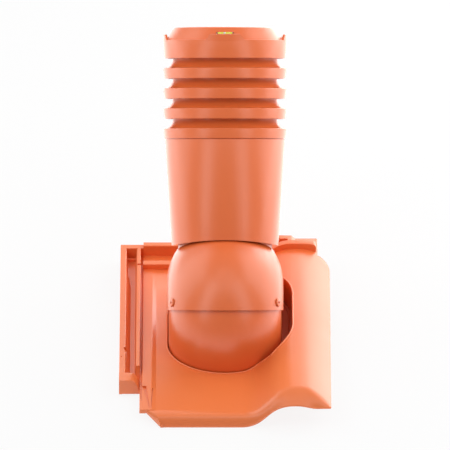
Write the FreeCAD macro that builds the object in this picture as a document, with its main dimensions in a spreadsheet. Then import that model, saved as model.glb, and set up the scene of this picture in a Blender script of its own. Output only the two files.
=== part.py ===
import FreeCAD, Part
import math
import os
import re
from collections import namedtuple

import Sketcher

# Roof tile vent, in millimetres and degrees. The tile lies flat: +X to the right across the tile, +Y up
# the slope and +Z out of the roof. The origin is the centre of the swivel, on the duct's axis. The pipe
# leans back by the roof's pitch, so that it would stand plumb on the roof.

os.makedirs("parts", exist_ok=True)
doc = FreeCAD.newDocument("roof_tile_vent")
Vector = FreeCAD.Vector

SIZES = {
    # Roof and tile
    "roof_pitch": 30,
    "tile_width": 304.8,
    "tile_length": 475,
    "tile_front": 250.8,         # swivel centre to the tile's front edge
    "swivel_rise": 24.7,         # swivel centre above the pan
    "skin": 4,                   # wall of the tile
    "lip_depth": 15.8,           # front lip, from the pan's top down to what the tile rests on
    # Roll on the right
    "flank_foot": 40.6,          # where the pan and the roll's flank would meet in a corner
    "flank_run": 37.5,
    "roll_height": 35,
    "foot_radius": 22,
    "brow_radius": 42,
    "crest_place": 105,
    "edge_height": 10,           # right edge of the roll above the pan
    "nose_length": 33,
    "lip_edge": 2.5,             # thickness left at the very front edge
    "pan_curl": 8,               # how suddenly the pan and the roll's crest turn down at the nose
    "crest_curl": 1.5,
    "merge": 1,                  # how far features of one moulding run into each other
    # Interlocking rails on the left
    "rail_height": 12,
    "rail_width": 7,
    "channel_width": 15.7,
    "channel_depth": 5,          # channel floor below the pan
    "channel_step": 6,           # raised strip along the lower channel
    "strip_height": 4,
    "strip_setback": 67,
    "strip_taper": 40,
    "inner_rail": 6.7,
    "slot_width": 2.6,
    "shoulder_width": 15.2,
    "shoulder_height": 3,
    "crease_width": 5.7,
    "rail_drop": 11,             # underside of the rail block below the pan
    "rail_setback": 86,          # front of the rails behind the tile's front edge
    "run_out_length": 40,        # how much earlier the inner rail ends
    "channel_head": 8,           # wall that closes the channel at the back
    "step_setback": 22,
    "step_width": 11.5,
    "step_wall": 5.5,
    "wedge_pitch": 4.6,          # fine ribs that draw together towards the corner
    "wedge_width": 1.2,
    "wedge_height": 1.4,
    "wedge_reach": 4,
    "corner_cut": 20.5,          # slanted front left corner
    # Head of the tile, under the next course
    "head_length": 40,
    "rib_width": 11,
    "rib_height": 8.5,
    "rib_end": 132,              # where the end rib comes down on the roll
    "rib_foot": 28.5,
    "shelf_drop": 14,            # depth of the wall that closes the roll under the end rib
    "head_rib_height": 16.6,
    "box_left": 77,
    "box_width": 20,
    "box_height": 28,
    "box_recess_width": 13.6,
    "box_recess_inset": 0.7,
    "box_recess_length": 8,
    "box_recess_depth": 5.8,
    "recess_setback": 10.3,
    "recess_wall": 4,
    "notch_length": 25.6,
    "slope_run": 5,
    "shelf_height": 22.7,
    "shelf_end": 134.6,
    "nib_width": 34,
    "nib_length": 9,
    "nib_place": 62,
    # Opening for the swivel
    "opening_radius": 83.1,
    "opening_half": 41.6,        # centres of the rounded ends from the swivel's centre
    "lip_width": 2.8,
    "lip_height": 2,
    "kink_place": 46.8,
    "brow_place": 66,
    "roll_opening": 97,
    "skirt_wall": 3,
    "foot_width": 6,
    "foot_height": 3,
    # Seat of the swivel
    "seat_radius": 81.4,         # flat cheeks at this distance, edges rounded with this radius
    "seat_core": 44,
    "seat_wall": 2.5,
    "seat_front_top": 48,        # angles above the tile's plane
    "seat_rear_top": 22,
    "flange_half": 109,
    "flange_thickness": 2.5,
    "bead_half": 93.6,
    "bead_width": 2,
    "bead_height": 2.6,
    "gasket_thickness": 1,
    "gasket_half": 101.7,
    "gasket_width": 4.5,
    "seat_screw_half": 105.7,
    "seat_screw_spread": 25,
    "seat_screw_radius": 1.5,
    "seat_screw_head": 3,
    "seat_screw_head_height": 2,
    "seat_screw_bite": 3.2,
    "screw_clearance": 0.3,
    "thread_clearance": 0.05,
    "tip_gap": 0.8,
    "boss_radius": 3.2,
    # Hood of the swivel
    "swivel_gap": 0.4,           # cheeks of the hood over those of the seat
    "hood_wall": 2.4,
    "hood_core": 46.5,
    "rim_height": 7.2,
    "rim_break": 12,
    "rim_slope": 34.9,
    "neck_radius": 68,
    "neck_wall": 2.4,
    "neck_top": 166,
    # Clamp screws of the hood
    "clamp_place": 75.7,
    "clamp_height": 18.2,
    "clamp_radius": 2,
    "clamp_clearance": 0.1,
    "clamp_head": 2.9,
    "clamp_head_height": 1.6,
    "clamp_socket": 1.5,
    "clamp_socket_depth": 1.3,
    "washer_radius": 6,
    "washer_height": 1.7,
    "washer_land": 0.5,
    "washer_sink": 0.4,          # the washer's flat foot stands this far off the curved hood at its centre
    # Outer pipe
    "pipe_base": 99.6,
    "pipe_base_radius": 77.3,
    "pipe_step": 1,              # top of the pipe inside the foot of the lowest band
    "pipe_wall": 2.2,
    "arch_crown": 108.1,
    "arch_radius": 392,
    "arch_spread": 85,
    "web_thickness": 2.4,
    "collar_gap": 0.5,
    # Inner pipe and what is round it
    "duct_radius": 55,
    "duct_wall": 2.4,
    "duct_foot": 5,              # below the swivel's centre
    "duct_top": 246,
    "duct_clearance": 0.3,
    "duct_bead": 4,
    "duct_bead_height": 2.6,
    "seal_base": 140,
    "seal_height": 12,
    "seal_clearance": 0.15,
    "seal_web": 2,
    "sleeve_gap": 0.3,
    "sleeve_setback": 8,
    # Louvre rings
    "ring_base": 254.3,
    "ring_pitch": 29.1,
    "band_height": 15.2,
    "band_top_radius": 89.3,
    "band_taper": 1.6,
    "flare_ledge": 0.4,
    "ring_wall": 2,
    "neck_stand": 5,
    "fin_count": 6,
    "fin_thickness": 2,
    "fin_overhang": 2,           # fins reach this far inside the neck that they stand on
    # Cap and spirit level
    "cap_band": 26.5,
    "cap_rise": 44.5,
    "crown_inset": 15,
    "crown_height": 1.4,
    "cap_wall": 2.4,
    "ledge_width": 3.9,          # flat ring round the shoulder, where the tabs stand
    "tab_half": 27.6,
    "tab_top_half": 21.6,
    "tab_height": 8,
    "tab_blank": 34,             # the tabs before they are rounded off with the band
    "vial_radius": 3.2,
    "vial_wall": 0.7,
    "vial_length": 25,
    "vial_end": 1,
    "vial_height": 7.6,          # above the cap's band
    "vial_inset": 1.5,
    "vial_clearance": 0.1,
    "fluid_clearance": 0.05,
    "cradle_margin": 2,
    "cradle_depth": 6,
}

sheet = doc.addObject("Spreadsheet::Sheet", "Sizes")
for row, (name, number) in enumerate(SIZES.items(), start=1):
    sheet.set(f"A{row}", name)
    sheet.set(f"B{row}", str(number))
    sheet.setAlias(f"B{row}", name)
doc.recompute()

# Sizes that follow from the ones above
TILE_BACK = "(tile_length - tile_front)"
ROLL_BACK = f"({TILE_BACK} - head_length)"
LEFT = "(-tile_width / 2)"
RAIL_INSIDE = f"({LEFT} + rail_width)"
INNER_RAIL_LEFT = f"({RAIL_INSIDE} + channel_width)"
INNER_RAIL_RIGHT = f"({INNER_RAIL_LEFT} + inner_rail)"
SHOULDER_LEFT = f"({INNER_RAIL_RIGHT} + slot_width)"
CREASE_LEFT = f"({SHOULDER_LEFT} + shoulder_width)"
PAN_LEFT = f"({CREASE_LEFT} + crease_width)"
STEP_RIGHT = f"({INNER_RAIL_RIGHT} + step_width - merge)"
FLANGE_TOP = "(-swivel_rise - skin - gasket_thickness)"
FLANGE_FOOT = f"({FLANGE_TOP} - flange_thickness)"
HOOD_INSIDE = "(seat_radius + swivel_gap)"
HOOD_RADIUS = f"({HOOD_INSIDE} + hood_wall)"
BAND_FOOT = "(band_top_radius - band_taper)"
BAND_INSIDE = f"({BAND_FOOT} - ring_wall - flare_ledge)"
PIPE_TOP = f"({BAND_FOOT} - pipe_step)"
COLLAR = f"({BAND_INSIDE} - collar_gap)"
FLARE = "(band_top_radius - flare_ledge)"
RING_GAP = "(ring_pitch - band_height)"
RING_NECK = f"({FLARE} - {RING_GAP})"
FIN_REACH = f"({RING_NECK} - ring_wall - fin_overhang)"
PIPE_GROWTH = f"(({PIPE_TOP} - pipe_base_radius) / (ring_base - pipe_base))"
CROWN = "(band_top_radius - crown_inset)"
SHOULDER_FOOT = "(band_top_radius - ledge_width)"
SHOULDER_SLOPE = f"(({SHOULDER_FOOT} - {CROWN}) / (cap_rise - cap_band))"
CAP_BASE = "(ring_base + 4 * ring_pitch)"
SHOULDER_BASE = f"({CAP_BASE} + cap_band)"
CAP_TOP = f"({CAP_BASE} + cap_rise)"
BEYOND = "400"                   # past the part on every side, for cuts


def link(text):
    """The expression with the name of each size pointed at the sheet."""
    return re.sub(r"[a-z][a-z_0-9]*", lambda word: f"Sizes.{word[0]}" if word[0] in SIZES else word[0], text)


def value(text):
    return float(sheet.evalExpression(link(text)))


# An arc in an outline, from the corner before it to the corner after it
Bend = namedtuple("Bend", "x y radius turn")


def new_body(name):
    body = doc.addObject("PartDesign::Body", name)
    body.Label = name
    return body


def origin_feature(body, role):
    return next(feature for feature in body.Origin.OriginFeatures if feature.Role == role)


def new_sketch(body, name, plane, offset=None):
    """A sketch on one of the body's own planes, moved along that plane's normal by offset."""
    sketch = body.newObject("Sketcher::SketchObject", name)
    sketch.AttachmentSupport = (origin_feature(body, plane), [""])
    sketch.MapMode = "FlatFace"
    if offset:
        sketch.setExpression("AttachmentOffset.Base.z", link(offset))
    return sketch


def rounding(before, corner, after, radius):
    """Where the arc that rounds a corner starts and ends, with its centre and its turn."""
    to_before = (before - corner).normalize()
    to_after = (after - corner).normalize()
    half = to_before.getAngle(to_after) / 2
    reach = radius / math.tan(half)
    centre = corner + (to_before + to_after).normalize() * (radius / math.sin(half))
    turn = 1 if to_after.cross(to_before).z > 0 else -1
    return corner + to_before * reach, corner + to_after * reach, centre, turn


def add_arc(sketch, centre, start, end, turn):
    """An arc from start to end, and which of its ends those are."""
    first, last = (start, end) if turn > 0 else (end, start)
    angles = [math.atan2(point.y - centre.y, point.x - centre.x) for point in (first, last)]
    circle = Part.Circle(centre, Vector(0, 0, 1), (start - centre).Length)
    index = sketch.addGeometry(Part.ArcOfCircle(circle, *angles), False)
    return (index, 1, 2) if turn > 0 else (index, 2, 1)


def add_rules(sketch, rules, bound):
    """Adds constraints to a sketch and binds the stated ones to their expressions."""
    count = len(sketch.Constraints)
    sketch.addConstraint(rules)
    for place, text in bound:
        sketch.setExpression(f"Constraints[{count + place}]", link(text))


def outline(sketch, path):
    """A closed outline. A corner is (x, y) or, where it is rounded, (x, y, radius). A Bend joins two."""
    corners, bends = [], []
    for step in path:
        if isinstance(step, Bend):
            bends[-1] = step
        else:
            corners.append(step)
            bends.append(None)
    count = len(corners)
    points = [Vector(value(corner[0]), value(corner[1]), 0) for corner in corners]
    starts, ends, rounds = list(points), points[1:] + points[:1], {}
    for place, corner in enumerate(corners):
        if len(corner) == 3:
            after = points[(place + 1) % count]
            found = rounding(points[place - 1], points[place], after, value(corner[2]))
            ends[place - 1], starts[place] = found[0], found[1]
            rounds[place] = found

    edges, arcs = [], {}
    for place, bend in enumerate(bends):
        if bend:
            centre = Vector(value(bend.x), value(bend.y), 0)
            edges.append(add_arc(sketch, centre, starts[place], ends[place], bend.turn))
        else:
            edges.append((sketch.addGeometry(Part.LineSegment(starts[place], ends[place]), False), 1, 2))
        following = (place + 1) % count
        if following in rounds:
            begin, finish, centre, turn = rounds[following]
            arcs[following] = add_arc(sketch, centre, begin, finish, turn)

    rules, bound = [], []

    def tie(kind, *where, text):
        rules.append(Sketcher.Constraint(kind, *where, value(text)))
        bound.append((len(rules) - 1, text))

    def place_point(index, end, x=None, y=None):
        for kind, axis, text in (("DistanceX", -2, x), ("DistanceY", -1, y)):
            if text == "0":
                rules.append(Sketcher.Constraint("PointOnObject", index, end, axis))
            elif text:
                tie(kind, -1, 1, index, end, text=text)

    for place, corner in enumerate(corners):
        edge, start, _ = edges[place]
        before, _, end = edges[place - 1]
        if place in arcs:
            arc, arc_start, arc_end = arcs[place]
            rules.append(Sketcher.Constraint("Tangent", before, end, arc, arc_start))
            rules.append(Sketcher.Constraint("Tangent", arc, arc_end, edge, start))
            tie("Radius", arc, text=corner[2])
            point = sketch.addGeometry(Part.Point(points[place]), True)
            place_point(point, 1, corner[0], corner[1])
            rules.append(Sketcher.Constraint("PointOnObject", point, 1, before))
            rules.append(Sketcher.Constraint("PointOnObject", point, 1, edge))
            continue
        rules.append(Sketcher.Constraint("Coincident", before, end, edge, start))
        bend = bends[place] or bends[place - 1]
        if bends[place] and bends[place - 1]:
            continue
        if bend is None:
            place_point(edge, start, corner[0], corner[1])
        elif abs(points[place].x - value(bend.x)) > abs(points[place].y - value(bend.y)):
            place_point(edge, start, y=corner[1])
        else:
            place_point(edge, start, x=corner[0])
    for place, bend in enumerate(bends):
        if bend:
            place_point(edges[place][0], 3, bend.x, bend.y)
            tie("Radius", edges[place][0], text=bend.radius)

    add_rules(sketch, rules, bound)


def circles(sketch, places, radius):
    rules, bound = [], []
    for x, y in places:
        circle = Part.Circle(Vector(value(x), value(y), 0), Vector(0, 0, 1), value(radius))
        index = sketch.addGeometry(circle, False)
        for kind, axis, text in (("DistanceX", -2, x), ("DistanceY", -1, y)):
            if text == "0":
                rules.append(Sketcher.Constraint("PointOnObject", index, 3, axis))
            else:
                rules.append(Sketcher.Constraint(kind, -1, 1, index, 3, value(text)))
                bound.append((len(rules) - 1, text))
        rules.append(Sketcher.Constraint("Radius", index, value(radius)))
        bound.append((len(rules) - 1, radius))
    add_rules(sketch, rules, bound)


def add_pad(body, sketch, length, reverse=False, both_ways=False):
    pad = body.newObject("PartDesign::Pad", sketch.Name + "_pad")
    pad.Profile = sketch
    pad.setExpression("Length", link(length))
    pad.Reversed = reverse
    pad.Midplane = both_ways
    return pad


def add_pocket(body, sketch, length=None, reverse=False):
    """A cut of a stated depth, or else right through both ways."""
    pocket = body.newObject("PartDesign::Pocket", sketch.Name + "_pocket")
    pocket.Profile = sketch
    if length:
        pocket.setExpression("Length", link(length))
        pocket.Reversed = reverse
    else:
        pocket.Type = "ThroughAll"
        pocket.Midplane = True
    return pocket


def add_turning(body, sketch, kind="PartDesign::Revolution", axis="V_Axis"):
    turning = body.newObject(kind, sketch.Name + "_turned")
    turning.Profile = sketch
    turning.ReferenceAxis = (sketch, [axis])
    turning.Angle = 360
    return turning


def stadium(half, radius):
    """A rectangle with round ends along Y, of this radius round centres at plus and minus half."""
    return [
        (radius, f"-({half})"), (radius, half), Bend("0", half, radius, 1),
        (f"-({radius})", half), (f"-({radius})", f"-({half})"), Bend("0", f"-({half})", radius, 1),
    ]


def tile_line(level, rise, edge, under="0", right="tile_width / 2"):
    """The tile's upper line from the pan to the roll's far side, or a line at a distance under it."""
    run = f"(flank_run * ({rise}) / roll_height)"
    lean = "tan(atan(roll_height / flank_run) / 2)"
    crest = f"({level} + {rise})"
    drop = f"({crest} - ({edge}))"
    width = f"({right} - crest_place)"
    radius = f"(({width} * {width} + {drop} * {drop}) / (2 * {drop}))"
    return [
        (f"flank_foot + {under} * {lean}", f"{level} - {under}", f"foot_radius + {under}"),
        (f"flank_foot + {run} + {under} * {lean}", f"{crest} - {under}", f"brow_radius - {under}"),
        ("crest_place", f"{crest} - {under}"),
        Bend("crest_place", f"{crest} - {radius}", f"{radius} - {under}", -1),
        (f"crest_place + {width} * (1 - {under} / {radius})",
         f"{crest} - {radius} + ({radius} - {drop}) * (1 - {under} / {radius})"),
    ]


def backwards(path):
    return [step._replace(turn=-step.turn) if isinstance(step, Bend) else step for step in reversed(path)]


def tile_section(left, left_top, left_foot, upper, lower):
    """A closed slice of the tile between two of its lines."""
    return [(left, left_top), *upper, *backwards(lower), (left, left_foot)]


def slab(body, name, path, start, length):
    """A slice in the XZ plane, carried up the slope from start over length."""
    sketch = new_sketch(body, name, "XZ_Plane", f"-({start})")
    outline(sketch, path)
    return add_pad(body, sketch, length, reverse=True)


def loft(body, name, sketches):
    feature = body.newObject("PartDesign::AdditiveLoft", name)
    feature.Profile = sketches[0]
    feature.Sections = sketches[1:]
    feature.Ruled = True
    return feature


NOSE_START = "(nose_length - tile_front)"
NOSE_STEPS = 8
FALL = "(lip_depth - lip_edge)"


def nose_slice(tile, name, step, sunk, flat_foot):
    """A slice of the nose, where the roll slopes down to the front edge and the pan rolls over it."""
    along = math.sin(math.pi / 2 * step / NOSE_STEPS)
    pan_fall = f"({FALL} * {along}^pan_curl + {sunk})"
    crest_fall = f"({FALL} * {along}^crest_curl + {sunk})"
    rise = f"(roll_height + {pan_fall} - {crest_fall})"
    sketch = new_sketch(tile, f"{name}_slice_{step}", "XZ_Plane", f"-({NOSE_START} - nose_length * {along})")
    upper = tile_line(f"-{pan_fall}", rise, f"(edge_height - {sunk})")
    if flat_foot:
        foot, lower = "-lip_depth", tile_line("-lip_depth", "roll_height", "(edge_height - lip_edge)")
    else:
        under = f"(skin + (lip_edge - skin) * {along}^pan_curl)"
        foot, lower = f"-{pan_fall} - {under}", tile_line(f"-{pan_fall}", rise, "edge_height", under)
    outline(sketch, tile_section(STEP_RIGHT, f"-{pan_fall}", foot, upper, lower))
    return sketch


def pan_opening(wall):
    """The opening's outline in the pan, left of the kink, or a line round it at a distance."""
    radius = f"(opening_radius + {wall})"
    end = f"(opening_half + sqrt({radius} * {radius} - kink_place * kink_place))"
    return [
        ("kink_place", f"-{end}"), Bend("0", "-opening_half", radius, -1),
        (f"-{radius}", "-opening_half"), (f"-{radius}", "opening_half"),
        Bend("0", "opening_half", radius, -1), ("kink_place", end),
    ]


def roll_opening(wall):
    """The opening's outline in the roll, right of the kink, or a line round it at a distance."""
    small, large = f"(opening_radius + {wall})", f"(roll_opening + {wall})"
    kink = f"(opening_half + sqrt({small} * {small} - kink_place * kink_place))"
    brow = f"(opening_half + sqrt({large} * {large} - brow_place * brow_place))"
    return [
        (f"kink_place - {wall}", kink), ("brow_place", brow),
        Bend("0", "opening_half", large, -1), (large, "opening_half"), (large, "-opening_half"),
        Bend("0", "-opening_half", large, -1), ("brow_place", f"-{brow}"),
        (f"kink_place - {wall}", f"-{kink}"),
    ]


def rectangle(left, right, low, high):
    return [(left, low), (right, low), (right, high), (left, high)]


def plan_pad(body, name, path, base, height):
    """An outline in the XY plane, raised from base over height."""
    sketch = new_sketch(body, name, "XY_Plane", base)
    outline(sketch, path)
    return add_pad(body, sketch, height)


def plan_pocket(body, name, path, top=None, depth=None):
    sketch = new_sketch(body, name, "XY_Plane", top)
    outline(sketch, path)
    return add_pocket(body, sketch, depth)


def build_tile_plate():
    """The moulded tile. Its own z is 0 at the pan's top."""
    tile = new_body("tile_plate")
    tile.setExpression("Placement.Base.z", link("-swivel_rise"))

    # Pan and roll, from the nose to the end rib
    section = tile_section(STEP_RIGHT, "0", "-skin", tile_line("0", "roll_height", "edge_height"),
                           tile_line("0", "roll_height", "edge_height", "skin"))
    slab(tile, "plate", section, NOSE_START, f"{ROLL_BACK} - {NOSE_START}")
    loft(tile, "nose", [nose_slice(tile, "nose", step, "0", False) for step in range(NOSE_STEPS + 1)])
    lip_steps = NOSE_STEPS - 3, NOSE_STEPS - 1
    loft(tile, "lip", [nose_slice(tile, "lip", step, "merge", True) for step in lip_steps])

    # Rails, channels and shoulder on the left
    rail_front = "(rail_setback - tile_front)"
    rails = [
        (LEFT, "-rail_drop"), (LEFT, "rail_height"), (RAIL_INSIDE, "rail_height"),
        (RAIL_INSIDE, "-channel_depth"), (INNER_RAIL_LEFT, "-channel_depth"),
        (INNER_RAIL_LEFT, "rail_height"), (INNER_RAIL_RIGHT, "rail_height"),
        (INNER_RAIL_RIGHT, "-skin / 2"), (SHOULDER_LEFT, "-skin / 2"), (SHOULDER_LEFT, "shoulder_height"),
        (CREASE_LEFT, "shoulder_height"), (PAN_LEFT, "0"), (f"{PAN_LEFT} + skin", "0"),
        (f"{PAN_LEFT} + skin", "-skin"), (INNER_RAIL_RIGHT, "-skin"),
        (INNER_RAIL_RIGHT, "-channel_depth - skin"),
        (f"{LEFT} + skin", "-channel_depth - skin"), (f"{LEFT} + skin", "-rail_drop"),
    ]
    slab(tile, "rails", rails, rail_front, f"{TILE_BACK} - {rail_front}")
    rail_foot = rectangle(LEFT, INNER_RAIL_RIGHT, "-rail_drop", "-channel_depth")
    slab(tile, "rail_end", rail_foot, rail_front, "skin")
    strip = [
        (RAIL_INSIDE, rail_front), (f"{RAIL_INSIDE} + channel_step", rail_front),
        (f"{RAIL_INSIDE} + channel_step", f"{TILE_BACK} - strip_setback - strip_taper"),
        (RAIL_INSIDE, f"{TILE_BACK} - strip_setback"),
    ]
    plan_pad(tile, "channel_strip", strip, "-channel_depth", "channel_depth + strip_height")
    closing = rectangle(LEFT, INNER_RAIL_RIGHT, "-channel_depth", "rail_height")
    slab(tile, "channel_head", closing, f"{TILE_BACK} - channel_head", "channel_head")
    slab(tile, "channel_foot", closing, rail_front, "skin")
    rounded, edge = "(rail_height + channel_depth)", f"({INNER_RAIL_RIGHT} + slot_width / 2)"
    run_out = new_sketch(tile, "run_out", "XZ_Plane", f"-{rail_front}")
    outline(run_out, [
        (f"{INNER_RAIL_RIGHT} - {rounded}", "rail_height + merge"),
        (f"{INNER_RAIL_RIGHT} - {rounded}", "rail_height"),
        Bend(f"{INNER_RAIL_RIGHT} - {rounded}", "-channel_depth", rounded, -1),
        (INNER_RAIL_RIGHT, "-channel_depth"), (edge, "-channel_depth"), (edge, "rail_height + merge"),
    ])
    add_pocket(tile, run_out, "run_out_length")
    step = [
        (f"{STEP_RIGHT} - step_width", "shoulder_height"), (CREASE_LEFT, "shoulder_height"),
        (PAN_LEFT, "0"), (f"{PAN_LEFT} + skin", "0"), (f"{PAN_LEFT} + skin", "-skin"),
        (f"{STEP_RIGHT} - step_width", "shoulder_height - step_wall"),
    ]
    slab(tile, "step", step, "step_setback - tile_front", "rail_setback - step_setback")
    for number in (0, 1, 2):
        back_x = f"({SHOULDER_LEFT} + {number} * wedge_pitch)"
        front_x = f"({CREASE_LEFT} - wedge_reach + {number} * wedge_width)"
        front_y = "(step_setback - tile_front)"
        wedge = [
            (f"{back_x} + wedge_width", rail_front), (back_x, rail_front), (front_x, front_y),
            (f"{front_x} + wedge_width", front_y),
        ]
        plan_pad(tile, f"wedge_{number}", wedge, "0", "shoulder_height + wedge_height")

    # Head of the tile: end rib over pan and roll, trough, box, shelf and head rib
    end_rib = tile_section(
        CREASE_LEFT, "rib_height", "-skin",
        tile_line("rib_height", "roll_height", "rib_foot", right="rib_end"),
        tile_line("-skin", "roll_height - shelf_drop", "rib_foot - shelf_drop", right="rib_end"))
    slab(tile, "end_rib", end_rib, f"{ROLL_BACK} - rib_width", "rib_width")
    box_right = "(box_left + box_width)"
    head = [
        (STEP_RIGHT, "0"), ("box_left", "0"), ("box_left", "box_height"), (box_right, "box_height"),
        (f"{box_right} + slope_run", "shelf_height"), ("shelf_end", "shelf_height"),
        ("shelf_end", "edge_height"), ("shelf_end - skin", "edge_height"),
        ("shelf_end - skin", "shelf_height - skin"),
        (f"{box_right} + slope_run - merge", "shelf_height - skin"),
        (f"{box_right} - merge", "box_height - skin - recess_wall"),
        ("box_left + skin", "box_height - skin - recess_wall"),
        ("box_left + skin", "-skin"), (STEP_RIGHT, "-skin"),
    ]
    slab(tile, "head", head, f"{ROLL_BACK} - skin", "head_length + skin")
    head_rib = rectangle(SHOULDER_LEFT, "box_left + skin", "-skin / 2", "head_rib_height")
    slab(tile, "head_rib", head_rib, f"{TILE_BACK} - rib_width", "rib_width")
    recess_back = f"({TILE_BACK} - recess_setback)"
    recess = rectangle("box_left + box_recess_inset", "box_left + box_recess_inset + box_recess_width",
                       f"{recess_back} - box_recess_length", recess_back)
    plan_pocket(tile, "box_recess", recess, "box_height", "box_recess_depth")
    notch_front, notch_round = f"({ROLL_BACK} - notch_length)", "(tile_width / 2 - shelf_end)"
    notch = [
        ("shelf_end", BEYOND), ("shelf_end", notch_front),
        Bend("shelf_end", f"{notch_front} - {notch_round}", notch_round, -1),
        ("tile_width / 2", f"{notch_front} - {notch_round}"), (BEYOND, f"{notch_front} - {notch_round}"),
        (BEYOND, BEYOND),
    ]
    plan_pocket(tile, "notch", notch)

    # Skirt from the opening in the roll down to the seat's flange, trimmed to the roll
    plan_pad(tile, "skirt", roll_opening("skirt_wall"), "-skin", "roll_height + skin")
    above = [("0", "roll_height + skin"), ("0", "0"), *tile_line("0", "roll_height", "edge_height")[:2],
             ("crest_place", "roll_height"), ("crest_place", "roll_height + skin")]
    trim = new_sketch(tile, "trim", "XZ_Plane")
    outline(trim, above)
    add_pocket(tile, trim, "2 * (opening_half + roll_opening + 2 * skirt_wall)").Midplane = True
    plan_pad(tile, "foot", roll_opening("foot_width"), "-skin", "foot_height")
    plan_pad(tile, "opening_lip", pan_opening("lip_width"), "-skin", "skin + lip_height")
    plan_pocket(tile, "opening_left", pan_opening("0"))
    plan_pocket(tile, "opening_right", roll_opening("0"))

    # Front left corner, cut back on a slant
    corner = [
        (f"{STEP_RIGHT} - step_width - merge", "step_setback - tile_front"),
        (STEP_RIGHT, "step_setback - tile_front"),
        (f"{STEP_RIGHT} + corner_cut", "-tile_front"), (f"{STEP_RIGHT} + corner_cut", f"-{BEYOND}"),
        (f"{STEP_RIGHT} - step_width - merge", f"-{BEYOND}"),
    ]
    plan_pocket(tile, "corner", corner)

    # Nibs that hook over the batten, and pilot bosses for the seat's screws
    for side, place in (("left", "-nib_place"), ("right", "nib_place")):
        nib = rectangle(f"{place} - nib_width / 2", f"{place} + nib_width / 2",
                        f"{TILE_BACK} - rib_width - nib_length", f"{TILE_BACK} - rib_width")
        plan_pad(tile, f"nib_{side}", nib, "-lip_depth", "lip_depth - skin / 2")
    for name, places, height in boss_groups():
        boss = new_sketch(tile, f"boss_{name}", "XY_Plane", "-skin - gasket_thickness")
        circles(boss, places, "boss_radius")
        add_pad(tile, boss, f"gasket_thickness + {height}")
    pilot = new_sketch(tile, "pilot", "XY_Plane", "-skin - gasket_thickness")
    circles(pilot, seat_screw_places(), "seat_screw_radius")
    add_pocket(tile, pilot, "seat_screw_bite", reverse=True)
    return tile


def boss_groups():
    """Where the seat's screws go in, and how high each group's bosses rise from the tile's underside."""
    side, end = "seat_screw_half", "(opening_half + seat_screw_half)"
    ends = [("0", end), ("0", f"-{end}")]
    left, right = ([(place, "seat_screw_spread"), (place, "-seat_screw_spread")]
                   for place in (f"-{side}", side))
    return ("low", left + ends, "skin / 2"), ("high", right, "roll_height + skin / 2")


def head_lean():
    return FreeCAD.Placement(Vector(0, 0, 0), FreeCAD.Rotation(Vector(-1, 0, 0), value("roof_pitch")))


def tilted(body):
    """Leans a piece of the head back by the roof's pitch, about the swivel's axis."""
    body.Placement = head_lean()
    body.setExpression("Placement.Rotation.Angle", link("roof_pitch"))
    return body


def turned_piece(name, path, tilt=True):
    """A piece turned about the duct's axis from one outline in the XZ plane."""
    body = new_body(name)
    sketch = new_sketch(body, f"{name}_profile", "XZ_Plane")
    outline(sketch, path)
    add_turning(body, sketch)
    return tilted(body) if tilt else body


def drum(radius, core):
    """Half the section of a drum on the X axis, with flat cheeks and edges rounded with its radius."""
    return [
        (f"-{radius}", "0"), (f"-{radius}", core), Bend("0", core, radius, -1), (radius, core), (radius, "0"),
    ]


def ring_pad(body, name, half, outer, inner, base, height):
    """A stadium-shaped ring in the XY plane."""
    sketch = new_sketch(body, name, "XY_Plane", base)
    outline(sketch, stadium(half, outer))
    outline(sketch, stadium(half, inner))
    return add_pad(body, sketch, height)


def bead_line():
    """An upstand on the flange, inside the skirt that comes down from the roll."""
    outer, inner = "bead_half", "(bead_half - bead_width)"
    outer_end = f"(opening_half + sqrt({outer} * {outer} - brow_place * brow_place))"
    inner_end = f"(opening_half + sqrt({inner} * {inner} - brow_place * brow_place))"
    return [
        ("brow_place", f"-{outer_end}"), Bend("0", "-opening_half", outer, 1),
        (outer, "-opening_half"), (outer, "opening_half"), Bend("0", "opening_half", outer, 1),
        ("brow_place", outer_end), ("brow_place", inner_end), Bend("0", "opening_half", inner, -1),
        (inner, "opening_half"), (inner, "-opening_half"), Bend("0", "-opening_half", inner, -1),
        ("brow_place", f"-{inner_end}"),
    ]


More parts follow.
